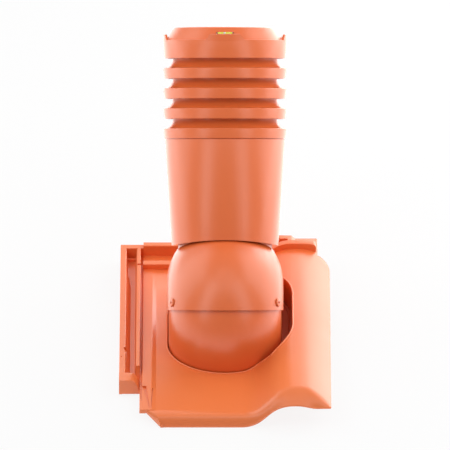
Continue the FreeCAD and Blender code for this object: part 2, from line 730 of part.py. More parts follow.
def build_swivel_seat():
    """The fixed half of the swivel: a drum open above and below, with a flange under the tile."""
    seat = new_body("swivel_seat")
    shell = new_sketch(seat, "seat_drum", "XZ_Plane")
    outline(shell, drum("seat_radius", "seat_core"))
    add_turning(seat, shell, axis="H_Axis")
    plan_pad(seat, "flange", stadium("opening_half", "flange_half"), FLANGE_FOOT, "flange_thickness")
    bead = new_sketch(seat, "bead", "XY_Plane", FLANGE_TOP)
    outline(bead, bead_line())
    add_pad(seat, bead, "bead_height")
    hollow = new_sketch(seat, "seat_hollow", "XZ_Plane")
    outline(hollow, drum("(seat_radius - seat_wall)", "seat_core"))
    add_turning(seat, hollow, "PartDesign::Groove", "H_Axis")

    reach = "(seat_core + seat_radius)"
    front_y, front_z = f"(-{reach} * cos(seat_front_top))", f"({reach} * sin(seat_front_top))"
    rear_y, rear_z = f"({reach} * cos(seat_rear_top))", f"({reach} * sin(seat_rear_top))"
    slope = f"(({rear_z} - {front_z}) / ({rear_y} - {front_y}))"
    above = new_sketch(seat, "seat_top", "YZ_Plane")
    outline(above, [
        (f"-{BEYOND}", f"{front_z} + {slope} * (-{BEYOND} - {front_y})"),
        (BEYOND, f"{front_z} + {slope} * ({BEYOND} - {front_y})"), (BEYOND, BEYOND), (f"-{BEYOND}", BEYOND),
    ])
    add_pocket(seat, above)
    below = new_sketch(seat, "seat_foot", "XY_Plane", FLANGE_FOOT)
    outline(below, rectangle(f"-{BEYOND}", BEYOND, f"-{BEYOND}", BEYOND))
    add_pocket(seat, below, BEYOND)
    holes = new_sketch(seat, "screw_holes", "XY_Plane", FLANGE_FOOT)
    circles(holes, seat_screw_places(), "seat_screw_radius + screw_clearance")
    add_pocket(seat, holes, "2 * flange_thickness", reverse=True)
    return seat


def seat_screw_places():
    return [place for _, places, _ in boss_groups() for place in places]


def build_seat_gasket():
    gasket = new_body("seat_gasket")
    ring_pad(gasket, "gasket_ring", "opening_half", "gasket_half", "gasket_half - gasket_width",
             FLANGE_TOP, "gasket_thickness")
    return gasket


def build_seat_screws():
    """Six pan-head screws from below: one turned screw repeated at the bosses."""
    shank = f"({FLANGE_FOOT} + flange_thickness + seat_screw_bite - tip_gap)"
    head = f"({FLANGE_FOOT} - seat_screw_head_height)"
    profile = [
        ("0", head), ("seat_screw_head", head), ("seat_screw_head", FLANGE_FOOT),
        ("seat_screw_radius - thread_clearance", FLANGE_FOOT),
        ("seat_screw_radius - thread_clearance", shank),
        ("0", f"{shank} + seat_screw_radius / 2"),
    ]
    screws = []
    for number, (x, y) in enumerate(seat_screw_places(), start=1):
        screw = turned_piece(f"seat_screw_{number}", profile, tilt=False)
        screw.setExpression("Placement.Base.x", link(x))
        screw.setExpression("Placement.Base.y", link(y))
        screws.append(screw)
    group = doc.addObject("Part::Compound", "seat_screws")
    group.Links = screws
    group.Label = "seat_screws"
    return group


def build_swivel_hood():
    """The tilting half of the swivel: a wider drum over the seat, with a neck that carries the pipe."""
    hood = tilted(new_body("swivel_hood"))
    shell = new_sketch(hood, "hood_drum", "XZ_Plane")
    outline(shell, drum(HOOD_RADIUS, "hood_core"))
    add_turning(hood, shell, axis="H_Axis")
    neck = new_sketch(hood, "neck", "XY_Plane")
    circles(neck, [("0", "0")], "neck_radius")
    add_pad(hood, neck, "neck_top")
    hollow = new_sketch(hood, "hood_hollow", "XZ_Plane")
    outline(hollow, drum(HOOD_INSIDE, "hood_core"))
    add_turning(hood, hollow, "PartDesign::Groove", "H_Axis")
    bore = new_sketch(hood, "neck_bore", "XY_Plane")
    circles(bore, [("0", "0")], "neck_radius - neck_wall")
    add_pocket(hood, bore)
    rim = new_sketch(hood, "rim", "YZ_Plane")
    outline(rim, [
        (f"-{BEYOND}", "rim_height"), ("rim_break", "rim_height"),
        (BEYOND, f"rim_height + ({BEYOND} - rim_break) * tan(rim_slope)"), (BEYOND, f"-{BEYOND}"),
        (f"-{BEYOND}", f"-{BEYOND}"),
    ])
    add_pocket(hood, rim)
    for side, name in ((-1, "left"), (1, "right")):
        hole = new_sketch(hood, f"clamp_hole_{name}", "XY_Plane")
        place, direction = clamp_seat(side)
        hole.AttachmentOffset = FreeCAD.Placement(place, FreeCAD.Rotation(Vector(0, 0, 1), direction))
        circles(hole, [("0", "0")], "clamp_radius + clamp_clearance")
        add_pocket(hood, hole, "4 * hood_wall").Midplane = True
    return hood


def clamp_seat(side):
    """Where a clamp screw meets the hood's outside, in the head's own frame, and which way it faces."""
    across, radius, core = side * value("clamp_place"), value(HOOD_RADIUS), value("hood_core")
    reach = core + math.sqrt(radius**2 - across**2)
    height = value("clamp_height")
    back = -math.sqrt(reach**2 - height**2)
    inward = (reach - core) / radius
    direction = Vector(across / radius, inward * back / reach, inward * height / reach)
    return Vector(across, back, height), direction


def on_clamp_seat(body, side):
    """Moves a piece turned about Z onto a clamp screw's seat, in the leaning head."""
    place, direction = clamp_seat(side)
    body.Placement = head_lean() * FreeCAD.Placement(place, FreeCAD.Rotation(Vector(0, 0, 1), direction))
    return body


def build_clamp(side, name):
    """A domed washer and a socket screw that presses the hood's cheek on the seat's."""
    washer_crown = "(washer_sink + washer_height)"
    washer = turned_piece(f"hood_washer_{name}", [
        ("clamp_radius + clamp_clearance", "washer_sink"), ("washer_radius", "washer_sink"),
        ("washer_radius", "washer_sink + washer_height / 3"), ("clamp_head + washer_land", washer_crown),
        ("clamp_radius + clamp_clearance", washer_crown),
    ], tilt=False)
    top = f"({washer_crown} + clamp_head_height)"
    tip = "(hood_wall + swivel_gap)"
    screw = turned_piece(f"hood_screw_{name}", [
        ("0", f"-{tip}"), ("clamp_radius", f"-{tip}"), ("clamp_radius", washer_crown),
        ("clamp_head", washer_crown), ("clamp_head", f"{top} - clamp_head_height / 3"),
        ("clamp_head - clamp_head_height / 3", top), ("clamp_socket", top),
        ("clamp_socket", f"{top} - clamp_socket_depth"), ("0", f"{top} - clamp_socket_depth"),
    ], tilt=False)
    return [on_clamp_seat(washer, side), on_clamp_seat(screw, side)]


def pipe_inside(height):
    return f"(pipe_base_radius - pipe_wall + {PIPE_GROWTH} * ({height} - pipe_base))"


def build_outer_pipe():
    """The tapered pipe, with a web that stands on the hood's neck and a collar under the louvres."""
    web_top = "(neck_top + web_thickness)"
    pipe = turned_piece("outer_pipe", [
        ("pipe_base_radius", "pipe_base"), (PIPE_TOP, "ring_base"), (COLLAR, "ring_base"),
        (COLLAR, "ring_base + neck_stand"), (f"{COLLAR} - pipe_wall", "ring_base + neck_stand"),
        (f"{COLLAR} - pipe_wall", "ring_base - pipe_wall"),
        (pipe_inside("ring_base - 2 * pipe_wall"), "ring_base - 2 * pipe_wall"),
        (pipe_inside(web_top), web_top),
        ("duct_radius + duct_clearance", web_top), ("duct_radius + duct_clearance", "neck_top"),
        (pipe_inside("neck_top"), "neck_top"), (pipe_inside("pipe_base"), "pipe_base"),
    ])
    arch = new_sketch(pipe, "arch", "XZ_Plane")
    low = "(arch_crown - arch_radius + sqrt(arch_radius * arch_radius - arch_spread * arch_spread))"
    outline(arch, [
        ("-arch_spread", low), Bend("0", "arch_crown - arch_radius", "arch_radius", -1), ("arch_spread", low),
    ])
    add_pocket(pipe, arch)
    return pipe


def build_inner_pipe():
    """The duct itself, hung by a bead on the outer pipe's web."""
    bead_base = "(neck_top + web_thickness)"
    return turned_piece("inner_pipe", [
        ("duct_radius - duct_wall", "-duct_foot"), ("duct_radius", "-duct_foot"), ("duct_radius", bead_base),
        ("duct_radius + duct_bead", bead_base),
        ("duct_radius + duct_bead", f"{bead_base} + duct_bead_height"),
        ("duct_radius", f"{bead_base} + duct_bead_height"), ("duct_radius", "duct_top"),
        ("duct_radius - duct_wall", "duct_top"),
    ])


def build_duct_seal():
    """A lipped ring between the duct and the hood's neck."""
    inside, outside = "(duct_radius + seal_clearance)", "(neck_radius - neck_wall - seal_clearance)"
    return turned_piece("duct_seal", [
        (inside, "seal_base"), (outside, "seal_base"), (outside, "seal_base + seal_height"),
        (f"{outside} - seal_web", "seal_base + seal_height"),
        (f"{outside} - seal_web", "seal_base + seal_web"), (f"{inside} + seal_web", "seal_base + seal_web"),
        (f"{inside} + seal_web", "seal_base + seal_height"),
        (inside, "seal_base + seal_height"),
    ])


def build_insulation_sleeve():
    """Foam between the duct and the outer pipe, standing on the duct's bead."""
    base = "(neck_top + web_thickness + duct_bead_height)"
    top = "(ring_base - sleeve_setback)"
    inside = "(duct_radius + sleeve_gap)"
    return turned_piece("insulation_sleeve", [
        (inside, base), (f"{pipe_inside(base)} - sleeve_gap", base),
        (f"{pipe_inside(top)} - sleeve_gap", top),
        (inside, top),
    ])


def add_fins(body, name, path, count):
    """Radial fins inside a ring: one pad, repeated round the axis."""
    fin = new_sketch(body, name, "XZ_Plane")
    outline(fin, path)
    pad = add_pad(body, fin, "fin_thickness", both_ways=True)
    around = body.newObject("PartDesign::PolarPattern", f"{name}_around")
    around.Originals = [pad]
    around.Axis = (fin, ["V_Axis"])
    around.Angle = 360
    around.setExpression("Occurrences", link(count))
    body.Tip = around
    return around


def build_louvre_ring(number):
    """One louvre: a band, a hollow flare above it and fins that stand on the ring below."""
    base = f"(ring_base + {4 - number} * ring_pitch)"
    next_base, top = f"({base} + ring_pitch)", f"({base} + band_height)"
    under = f"({RING_GAP} + ring_wall)"
    lip = f"({next_base} - sqrt({under} * {under} - ring_wall * ring_wall))"
    ring = turned_piece(f"louvre_ring_{number}", [
        (BAND_FOOT, base), ("band_top_radius", top), (FLARE, top),
        Bend(FLARE, next_base, RING_GAP, -1), (RING_NECK, next_base),
        (RING_NECK, f"{next_base} + neck_stand"), (f"{RING_NECK} - ring_wall", f"{next_base} + neck_stand"),
        (f"{RING_NECK} - ring_wall", next_base), Bend(FLARE, next_base, under, 1),
        (f"{FLARE} - ring_wall", lip), (BAND_INSIDE, base),
    ])
    middle = f"({RING_GAP} + ring_wall / 2)"
    stand = f"({base} + neck_stand)"
    add_fins(ring, "fin", [
        (FIN_REACH, stand), (f"{BAND_FOOT} - ring_wall / 2", stand),
        (f"{FLARE} - ring_wall / 2", f"{top} - flare_ledge"),
        (f"{FLARE} - ring_wall / 2",
         f"({next_base} - sqrt({middle} * {middle} - ring_wall * ring_wall / 4))"),
        Bend(FLARE, next_base, middle, -1), (f"{RING_NECK} - ring_wall / 2", next_base),
        (FIN_REACH, next_base),
    ], "fin_count")
    return ring


def build_cap():
    """The closed cap: a band, a sloped shoulder and four grip tabs, with a trough for the level."""
    ledge_under, crown_under = f"({SHOULDER_BASE} - cap_wall)", f"({CAP_TOP} + crown_height - cap_wall)"
    inside = [(f"{SHOULDER_FOOT} - cap_wall", ledge_under), (f"{CROWN} - cap_wall", crown_under)]
    cap = turned_piece("cap", [
        ("0", f"{CAP_TOP} + crown_height"), (f"{CROWN} - crown_height", f"{CAP_TOP} + crown_height"),
        (CROWN, CAP_TOP), (SHOULDER_FOOT, SHOULDER_BASE), ("band_top_radius", SHOULDER_BASE),
        (BAND_FOOT, CAP_BASE),
        (BAND_INSIDE, CAP_BASE), ("band_top_radius - cap_wall", ledge_under), *inside, ("0", crown_under),
    ])

    tab = new_sketch(cap, "tab", "XZ_Plane", CROWN)
    outline(tab, [
        ("-tab_half", f"{SHOULDER_BASE} - cap_wall / 2"), ("-tab_half", SHOULDER_BASE),
        ("-tab_top_half", f"{SHOULDER_BASE} + tab_height"), ("tab_top_half", f"{SHOULDER_BASE} + tab_height"),
        ("tab_half", SHOULDER_BASE), ("tab_half", f"{SHOULDER_BASE} - cap_wall / 2"),
    ])
    tab_pad = add_pad(cap, tab, "tab_blank")
    around = cap.newObject("PartDesign::PolarPattern", "tab_around")
    around.Originals = [tab_pad]
    around.Axis = (origin_feature(cap, "Z_Axis"), [""])
    around.Angle = 360
    around.Occurrences = 4
    cap.Tip = around

    # Rounds the tabs off outside, parts them from the shoulder and clears the cap's inside
    trimmed = new_sketch(cap, "tab_round", "XZ_Plane")
    outline(trimmed, [
        ("band_top_radius", SHOULDER_BASE), (BAND_FOOT, CAP_BASE), ("2 * band_top_radius", CAP_BASE),
        ("2 * band_top_radius", CAP_TOP), ("band_top_radius", CAP_TOP),
    ])
    outline(trimmed, [(SHOULDER_FOOT, SHOULDER_BASE), (SHOULDER_FOOT, CAP_TOP), (CROWN, CAP_TOP)])
    trim = f"{CROWN} - tab_height"
    outline(trimmed, [*inside, (trim, crown_under), (trim, ledge_under)])
    cap.Tip = add_turning(cap, trimmed, "PartDesign::Groove")
    add_fins(cap, "cap_fin", [
        (FIN_REACH, f"{CAP_BASE} + neck_stand"), (f"{BAND_FOOT} - ring_wall / 2", f"{CAP_BASE} + neck_stand"),
        ("band_top_radius - cap_wall / 2", f"{SHOULDER_BASE} - cap_wall / 2"),
        (f"{SHOULDER_FOOT} - cap_wall / 2", f"{SHOULDER_BASE} - cap_wall / 2"),
        (f"{CROWN} - cap_wall / 2", f"{crown_under} + flare_ledge"),
        (FIN_REACH, f"{crown_under} + flare_ledge"),
    ], "fin_count")

    # Cradle and trough of the level, behind the front tab
    vial_y, vial_z = vial_place()
    cradle = new_sketch(cap, "cradle", "YZ_Plane")
    outline(cradle, [
        (f"{vial_y} + vial_radius + cradle_margin", f"{vial_z} - cradle_depth"),
        (vial_y, f"{vial_z} - cradle_depth"), (vial_y, vial_z),
        (f"{vial_y} + vial_radius + cradle_margin", f"{vial_z} + 2 * vial_radius"),
    ])
    add_pad(cap, cradle, "vial_length + 2 * cradle_margin", both_ways=True)
    trough = new_sketch(cap, "trough", "YZ_Plane")
    circles(trough, [(vial_y, vial_z)], "vial_radius + vial_clearance")
    add_pocket(cap, trough, "vial_length + 2 * vial_clearance").Midplane = True
    return cap


def vial_place():
    """The vial's axis in the head's YZ plane: a little inside the cap's sloped shoulder."""
    return (f"(vial_inset - {SHOULDER_FOOT} + {SHOULDER_SLOPE} * vial_height)",
            f"({SHOULDER_BASE} + vial_height)")


def along_vial(name, sections):
    """A piece of the level turned about the vial's axis, which lies across the cap."""
    vial_y, vial_z = vial_place()
    body = tilted(new_body(name))
    sketch = new_sketch(body, f"{name}_section", "YZ_Plane")
    circles(sketch, [(vial_y, vial_z)], sections[0][0])
    add_pad(body, sketch, sections[0][1], both_ways=True)
    for radius, length in sections[1:]:
        hollow = new_sketch(body, f"{name}_hollow", "YZ_Plane")
        circles(hollow, [(vial_y, vial_z)], radius)
        add_pocket(body, hollow, length).Midplane = True
    return body


def build_level():
    """The spirit level: a clear vial, closed at both ends, and the fluid in it."""
    bore, depth = "(vial_radius - vial_wall)", "(vial_length - 2 * vial_end)"
    vial = along_vial("level_vial", [("vial_radius", "vial_length"), (bore, depth)])
    fluid = along_vial("level_fluid", [(f"{bore} - fluid_clearance", f"{depth} - 2 * fluid_clearance")])
    return [vial, fluid]


PARTS = [build_tile_plate(), build_swivel_seat(), build_seat_gasket(), build_seat_screws()]
PARTS += [build_swivel_hood()]
PARTS += build_clamp(-1, "left") + build_clamp(1, "right")
PARTS += [build_outer_pipe(), build_inner_pipe(), build_duct_seal(), build_insulation_sleeve()]
PARTS += [build_louvre_ring(number) for number in (1, 2, 3, 4)]
PARTS += [build_cap(), *build_level()]
doc.recompute()

faults = [thing.Name for thing in doc.Objects if {"Invalid", "Error"} & set(thing.State)]
faults += [part.Label for part in PARTS if part.Shape.isNull() or not part.Shape.isValid()]
if faults:
    raise RuntimeError(f"not built: {faults}")
for part in PARTS:
    print(part.Label, round(part.Shape.Volume / 1000, 1), "cm3", len(part.Shape.Solids), part.Shape.BoundBox)
    part.Shape.exportStep(f"parts/{part.Label}.step")
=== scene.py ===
import bpy
import bmesh
import math
from mathutils import Matrix, Vector


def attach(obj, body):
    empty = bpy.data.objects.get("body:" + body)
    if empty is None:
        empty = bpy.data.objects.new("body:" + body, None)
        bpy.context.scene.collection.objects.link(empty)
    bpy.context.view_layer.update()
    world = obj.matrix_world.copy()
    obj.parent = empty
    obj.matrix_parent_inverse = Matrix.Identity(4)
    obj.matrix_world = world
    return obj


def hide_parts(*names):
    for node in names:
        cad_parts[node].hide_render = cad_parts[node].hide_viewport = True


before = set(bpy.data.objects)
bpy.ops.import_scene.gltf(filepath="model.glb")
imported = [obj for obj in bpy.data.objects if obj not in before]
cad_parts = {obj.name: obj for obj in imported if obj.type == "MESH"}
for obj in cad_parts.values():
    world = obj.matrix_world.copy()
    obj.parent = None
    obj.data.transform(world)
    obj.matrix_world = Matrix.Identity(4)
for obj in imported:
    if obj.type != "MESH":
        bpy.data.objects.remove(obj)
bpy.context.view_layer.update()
print("frame loaded")

# Pieces are modelled in millimetres and brought to metres when they are finished
roof = {"pitch": 30, "swivelRise": 24.7}
toMetres = Matrix.Scale(0.001, 4)
tilePlace = toMetres @ Matrix.Translation((0, 0, -roof["swivelRise"]))  # z is 0 on the pan
seatPlace = toMetres  # level with the tile, z is 0 at the swivel
headPlace = toMetres @ Matrix.Rotation(math.radians(-roof["pitch"]), 4, "X")  # leans back with the pipe


# Mesh tools

def arcPoints(centre, radius, start, end, steps):
    return [(centre[0] + radius * math.cos(math.radians(start + (end - start) * i / steps)),
             centre[1] + radius * math.sin(math.radians(start + (end - start) * i / steps)))
            for i in range(steps + 1)]


def roundCorners(points, radius, steps=4):
    # Rounds the corners of a closed outline: radius is one number, or one for each corner
    result = []
    for i, point in enumerate(points):
        here = Vector(point)
        before, after = Vector(points[i - 1]), Vector(points[(i + 1) % len(points)])
        size = radius[i] if isinstance(radius, (list, tuple)) else radius
        toBefore, toAfter = (before - here), (after - here)
        angle = toBefore.angle(toAfter)
        if size <= 0 or angle > math.radians(176):
            result.append(tuple(here))
            continue
        reach = min(size / math.tan(angle / 2), 0.48 * toBefore.length, 0.48 * toAfter.length)
        first, last = here + toBefore.normalized() * reach, here + toAfter.normalized() * reach
        for j in range(steps + 1):
            t = j / steps
            result.append(tuple(first * (1 - t) ** 2 + here * 2 * t * (1 - t) + last * t * t))
    return result


def lathe(profile, steps=128, axis=(0, 0, 1)):
    # Spins a closed profile of (radius, height) about the axis
    bm = bmesh.new()
    if axis[0]:
        verts = [bm.verts.new((height, radius, 0)) for radius, height in profile]
    else:
        verts = [bm.verts.new((radius, 0, height)) for radius, height in profile]
    onAxis = profile[0][0] < 1e-6 and profile[-1][0] < 1e-6
    pairs = list(zip(verts, verts[1:])) + ([] if onAxis else [(verts[-1], verts[0])])
    edges = [bm.edges.new(pair) for pair in pairs if (pair[0].co - pair[1].co).length > 1e-6]
    bmesh.ops.spin(bm, geom=verts + edges, cent=(0, 0, 0), axis=axis, angle=math.tau, steps=steps,
                   use_merge=True, use_duplicate=False)
    bmesh.ops.remove_doubles(bm, verts=bm.verts[:], dist=1e-3)
    bmesh.ops.dissolve_degenerate(bm, edges=bm.edges[:], dist=1e-4)
    bmesh.ops.recalc_face_normals(bm, faces=bm.faces[:])
    return bm


def extruded(outline, start, end, axis="Y", stations=1):
    # A closed outline carried along an axis: (x, z) along Y, (x, y) along Z, (y, z) along X
    bm = bmesh.new()
    spots = {"Y": lambda p: (p[0], start, p[1]), "Z": lambda p: (p[0], p[1], start),
             "X": lambda p: (start, p[0], p[1])}
    step = {"Y": (0, 1, 0), "Z": (0, 0, 1), "X": (1, 0, 0)}
    face = bm.faces.new([bm.verts.new(spots[axis](point)) for point in outline])
    base = [face]
    for _ in range(stations):
        grown = bmesh.ops.extrude_face_region(bm, geom=base, use_keep_orig=base[0] is face)["geom"]
        moved = [part for part in grown if isinstance(part, bmesh.types.BMVert)]
        bmesh.ops.translate(bm, verts=moved, vec=Vector(step[axis]) * (end - start) / stations)
        base = [part for part in grown if isinstance(part, bmesh.types.BMFace)]
    bmesh.ops.recalc_face_normals(bm, faces=bm.faces[:])
    return bm


def bridged(slices):
    # Closed rings of the same number of points, bridged one to the next and capped
    bm = bmesh.new()
    rings = []
    for points in slices:
        verts = [bm.verts.new(point) for point in points]
        rings.append([bm.edges.new((a, b)) for a, b in zip(verts, verts[1:] + verts[:1])])
    for first, second in zip(rings, rings[1:]):
        bmesh.ops.bridge_loops(bm, edges=first + second)
    for ring in (rings[0], rings[-1]):
        bmesh.ops.contextual_create(bm, geom=ring)
    bmesh.ops.recalc_face_normals(bm, faces=bm.faces[:])
    return bm


def joined(*meshes):
    whole = bmesh.new()
    for bm in meshes:
        scratch = bpy.data.meshes.new("scratch")
        bm.to_mesh(scratch)
        bm.free()
        whole.from_mesh(scratch)
        bpy.data.meshes.remove(scratch)
    return whole


def booleaned(bm, tools, operation):
    # Runs the Boolean modifier with each tool in turn, and gives the result back as a bmesh
    def asObject(part):
        data = bpy.data.meshes.new("cutting")
        part.to_mesh(data)
        part.free()
        thing = bpy.data.objects.new("cutting", data)
        bpy.context.scene.collection.objects.link(thing)
        return thing
    things = [asObject(part) for part in [bm, *tools]]
    for other in things[1:]:
        modifier = things[0].modifiers.new("boolean", "BOOLEAN")
        modifier.operation = operation
        modifier.solver = "EXACT"
        modifier.object = other
    bpy.context.view_layer.update()
    evaluated = things[0].evaluated_get(bpy.context.evaluated_depsgraph_get())
    result = bmesh.new()
    result.from_mesh(evaluated.to_mesh())
    evaluated.to_mesh_clear()
    for thing in things:
        data = thing.data
        bpy.data.objects.remove(thing)
        bpy.data.meshes.remove(data)
    bmesh.ops.remove_doubles(result, verts=result.verts[:], dist=0.01)
    bmesh.ops.dissolve_degenerate(result, edges=result.edges[:], dist=0.005)
    return result


def cut(bm, *tools):
    return booleaned(bm, tools, "DIFFERENCE")


def united(bm, *tools):
    return booleaned(bm, tools, "UNION")


def shared(bm, *tools):
    return booleaned(bm, tools, "INTERSECT")


def rounded(bm, choose, width, segments=3):
    # Rounds the edges that choose picks
    bmesh.ops.bevel(bm, geom=[edge for edge in bm.edges if choose(edge)], offset=width, segments=segments,
                    profile=0.5, affect="EDGES", material=-1)
    return bm


def turnedTo(direction, axis):
    # A rotation that points the axis in a direction
    return direction.to_track_quat(axis, "Y").to_matrix().to_4x4()


def finishPiece(name, bm, place, body, material, nodes=(), sharp=32, bevel=0):
    bm.transform(place)
    data = bpy.data.meshes.new(name)
    for face in bm.faces:
        face.smooth = True
    bm.to_mesh(data)
    bm.free()
    data.set_sharp_from_angle(angle=math.radians(sharp))
    piece = bpy.data.objects.new(name, data)
    bpy.context.scene.collection.objects.link(piece)
    data.materials.append(material)
    if bevel:
        rounding = piece.modifiers.new("edges", "BEVEL")
        rounding.width = bevel * 0.001
        rounding.segments = 3
        rounding.limit_method = "ANGLE"
        rounding.angle_limit = math.radians(sharp)
        rounding.harden_normals = True
    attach(piece, body)
    if nodes:
        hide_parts(*nodes)
    return piece


# Materials

def fromHex(text):
    # sRGB hex to the linear colour that the shader wants
    parts = [int(text[i:i + 2], 16) / 255 for i in (0, 2, 4)]
    return [c / 12.92 if c <= 0.04045 else ((c + 0.055) / 1.055) ** 2.4 for c in parts] + [1]


def addNode(material, kind, settings=None, **links):
    # Adds a node; settings are its own, links feed its inputs from values or other nodes' outputs
    node = material.node_tree.nodes.new(kind)
    for key, item in (settings or {}).items():
        setattr(node, key, item)
    for key, item in links.items():
        socket = node.inputs[int(key[2:])] if key.startswith("in") else node.inputs[key.replace("_", " ")]
        if isinstance(item, bpy.types.NodeSocket):
            material.node_tree.links.new(item, socket)
        else:
            socket.default_value = item
    return node


def newMaterial(name, **values):
    material = bpy.data.materials.new(name)
    material.use_nodes = True
    shader = material.node_tree.nodes["Principled BSDF"]
    for key, item in values.items():
        shader.inputs[key.replace("_", " ")].default_value = item
    return material, shader


def mouldedPlastic(name, colour, deeper, roughness, grain=1.0):
    # Injection-moulded ASA, coloured right through: a satin skin with faint flow clouds and a mould grain.
    # The real grain is about 0.1 mm, too fine to show, so it is drawn at 0.9 mm.
    material, shader = newMaterial(name, IOR=1.5, Roughness=roughness)
    place = addNode(material, "ShaderNodeTexCoord").outputs["Object"]
    flow = addNode(material, "ShaderNodeTexNoise", Vector=place, Scale=1 / 0.09, Detail=3.0, Roughness=0.55)
    tint = addNode(material, "ShaderNodeMix", {"data_type": "RGBA"}, in0=flow.outputs["Fac"],
                   in6=fromHex(colour), in7=fromHex(deeper))
    speck = addNode(material, "ShaderNodeTexNoise", Vector=place, Scale=1 / 0.0009, Detail=2.0, Roughness=0.6)
    gloss = addNode(material, "ShaderNodeMapRange", Value=flow.outputs["Fac"], To_Min=roughness - 0.04,
                    To_Max=roughness + 0.05)
    bump = addNode(material, "ShaderNodeBump", Height=speck.outputs["Fac"], Strength=0.05 * grain,
                   Distance=0.0002)
    links = material.node_tree.links
    links.new(tint.outputs[2], shader.inputs["Base Color"])
    links.new(gloss.outputs["Result"], shader.inputs["Roughness"])
    links.new(bump.outputs["Normal"], shader.inputs["Normal"])
    return material


tilePlastic = mouldedPlastic("satinAsaTile", "E67941", "E1723A", 0.34)
ventPlastic = mouldedPlastic("satinAsaVent", "E06D38", "DB6732", 0.32)
# The flange's plastic is darker than the tile's and the vent's: painted shade for the shadowed gap beside the
# hood, where it is seen. Its higher roughness makes it matte.
shadedFlangePlastic = mouldedPlastic("dullAsaFlange", "D0592B", "C95325", 0.62)
greyPipe = mouldedPlastic("greyPolypropylene", "63676B", "5C6064", 0.45)

sealRubber, rubberShader = newMaterial("blackEpdmRubber", IOR=1.52, Roughness=0.7)
rubberPlace = addNode(sealRubber, "ShaderNodeTexCoord").outputs["Object"]
rubberBloom = addNode(sealRubber, "ShaderNodeTexNoise", Vector=rubberPlace, Scale=1 / 0.006, Detail=4.0)
rubberTint = addNode(sealRubber, "ShaderNodeMix", {"data_type": "RGBA"}, in0=rubberBloom.outputs["Fac"],
                     in6=fromHex("1B1B1C"), in7=fromHex("2A2A2B"))
sealRubber.node_tree.links.new(rubberTint.outputs[2], rubberShader.inputs["Base Color"])

# Foam of welded beads, about 4 mm each
beadFoam, foamShader = newMaterial("mouldedBeadFoam", IOR=1.4, Roughness=0.85)
foamPlace = addNode(beadFoam, "ShaderNodeTexCoord").outputs["Object"]
foamCells = addNode(beadFoam, "ShaderNodeTexVoronoi", {"feature": "DISTANCE_TO_EDGE"}, Vector=foamPlace,
                    Scale=1 / 0.004)
foamShade = addNode(beadFoam, "ShaderNodeMapRange", Value=foamCells.outputs["Distance"], From_Max=0.12)
foamTint = addNode(beadFoam, "ShaderNodeMix", {"data_type": "RGBA"}, in0=foamShade.outputs["Result"],
                   in6=fromHex("C9C8C2"), in7=fromHex("E9E8E3"))
foamBump = addNode(beadFoam, "ShaderNodeBump", Height=foamShade.outputs["Result"], Strength=0.5,
                   Distance=0.0005)
beadFoam.node_tree.links.new(foamTint.outputs[2], foamShader.inputs["Base Color"])
beadFoam.node_tree.links.new(foamBump.outputs["Normal"], foamShader.inputs["Normal"])

# Cold-headed steel with faint turning lines
screwSteel, steelShader = newMaterial("stainlessSteel", Metallic=1.0, Roughness=0.32)
steelPlace = addNode(screwSteel, "ShaderNodeTexCoord").outputs["Object"]
steelLines = addNode(screwSteel, "ShaderNodeTexNoise", Vector=steelPlace, Scale=1 / 0.0006, Detail=2.0)
steelTint = addNode(screwSteel, "ShaderNodeMix", {"data_type": "RGBA"}, in0=steelLines.outputs["Fac"],
                    in6=fromHex("8E8C89"), in7=fromHex("A9A7A3"))
screwSteel.node_tree.links.new(steelTint.outputs[2], steelShader.inputs["Base Color"])
clearAcrylic = newMaterial("clearAcrylic", IOR=1.49, Roughness=0.03, Transmission_Weight=1.0,
                           Base_Color=fromHex("F7F8F0"))[0]
levelFluid, fluidShader = newMaterial("yellowLevelFluid", IOR=1.36, Roughness=0.1)  # dyed spirit
fluidPlace = addNode(levelFluid, "ShaderNodeTexCoord").outputs["Object"]
fluidDye = addNode(levelFluid, "ShaderNodeTexNoise", Vector=fluidPlace, Scale=1 / 0.008, Detail=1.0)
fluidTint = addNode(levelFluid, "ShaderNodeMix", {"data_type": "RGBA"}, in0=fluidDye.outputs["Fac"],
                    in6=fromHex("E3E21C"), in7=fromHex("D6DA1E"))
levelFluid.node_tree.links.new(fluidTint.outputs[2], fluidShader.inputs["Base Color"])
airBubble = newMaterial("airBubble", IOR=1.1, Roughness=0.15, Base_Color=fromHex("F4F4EC"))[0]
print("materials ready")


# Tile: pan, roll, rails and head

tile = {
    "left": -152.4, "right": 152.4, "front": -250.8, "back": 224.2, "rollBack": 184.2, "skin": 4,
    "flankFoot": 40.6, "flankRun": 37.5, "rollHeight": 35, "footRadius": 42, "browRadius": 52,
    "crest": 105, "edgeHeight": 16, "noseLength": 33, "lipDepth": 15.8, "lipEdge": 2.5,
    "panCurl": 8, "crestCurl": 1.5, "edgeCurl": 6, "edgeFront": 17.2, "noseSteps": 20, "plateLeft": -112.5,
    "frontSoft": 0.9,
}


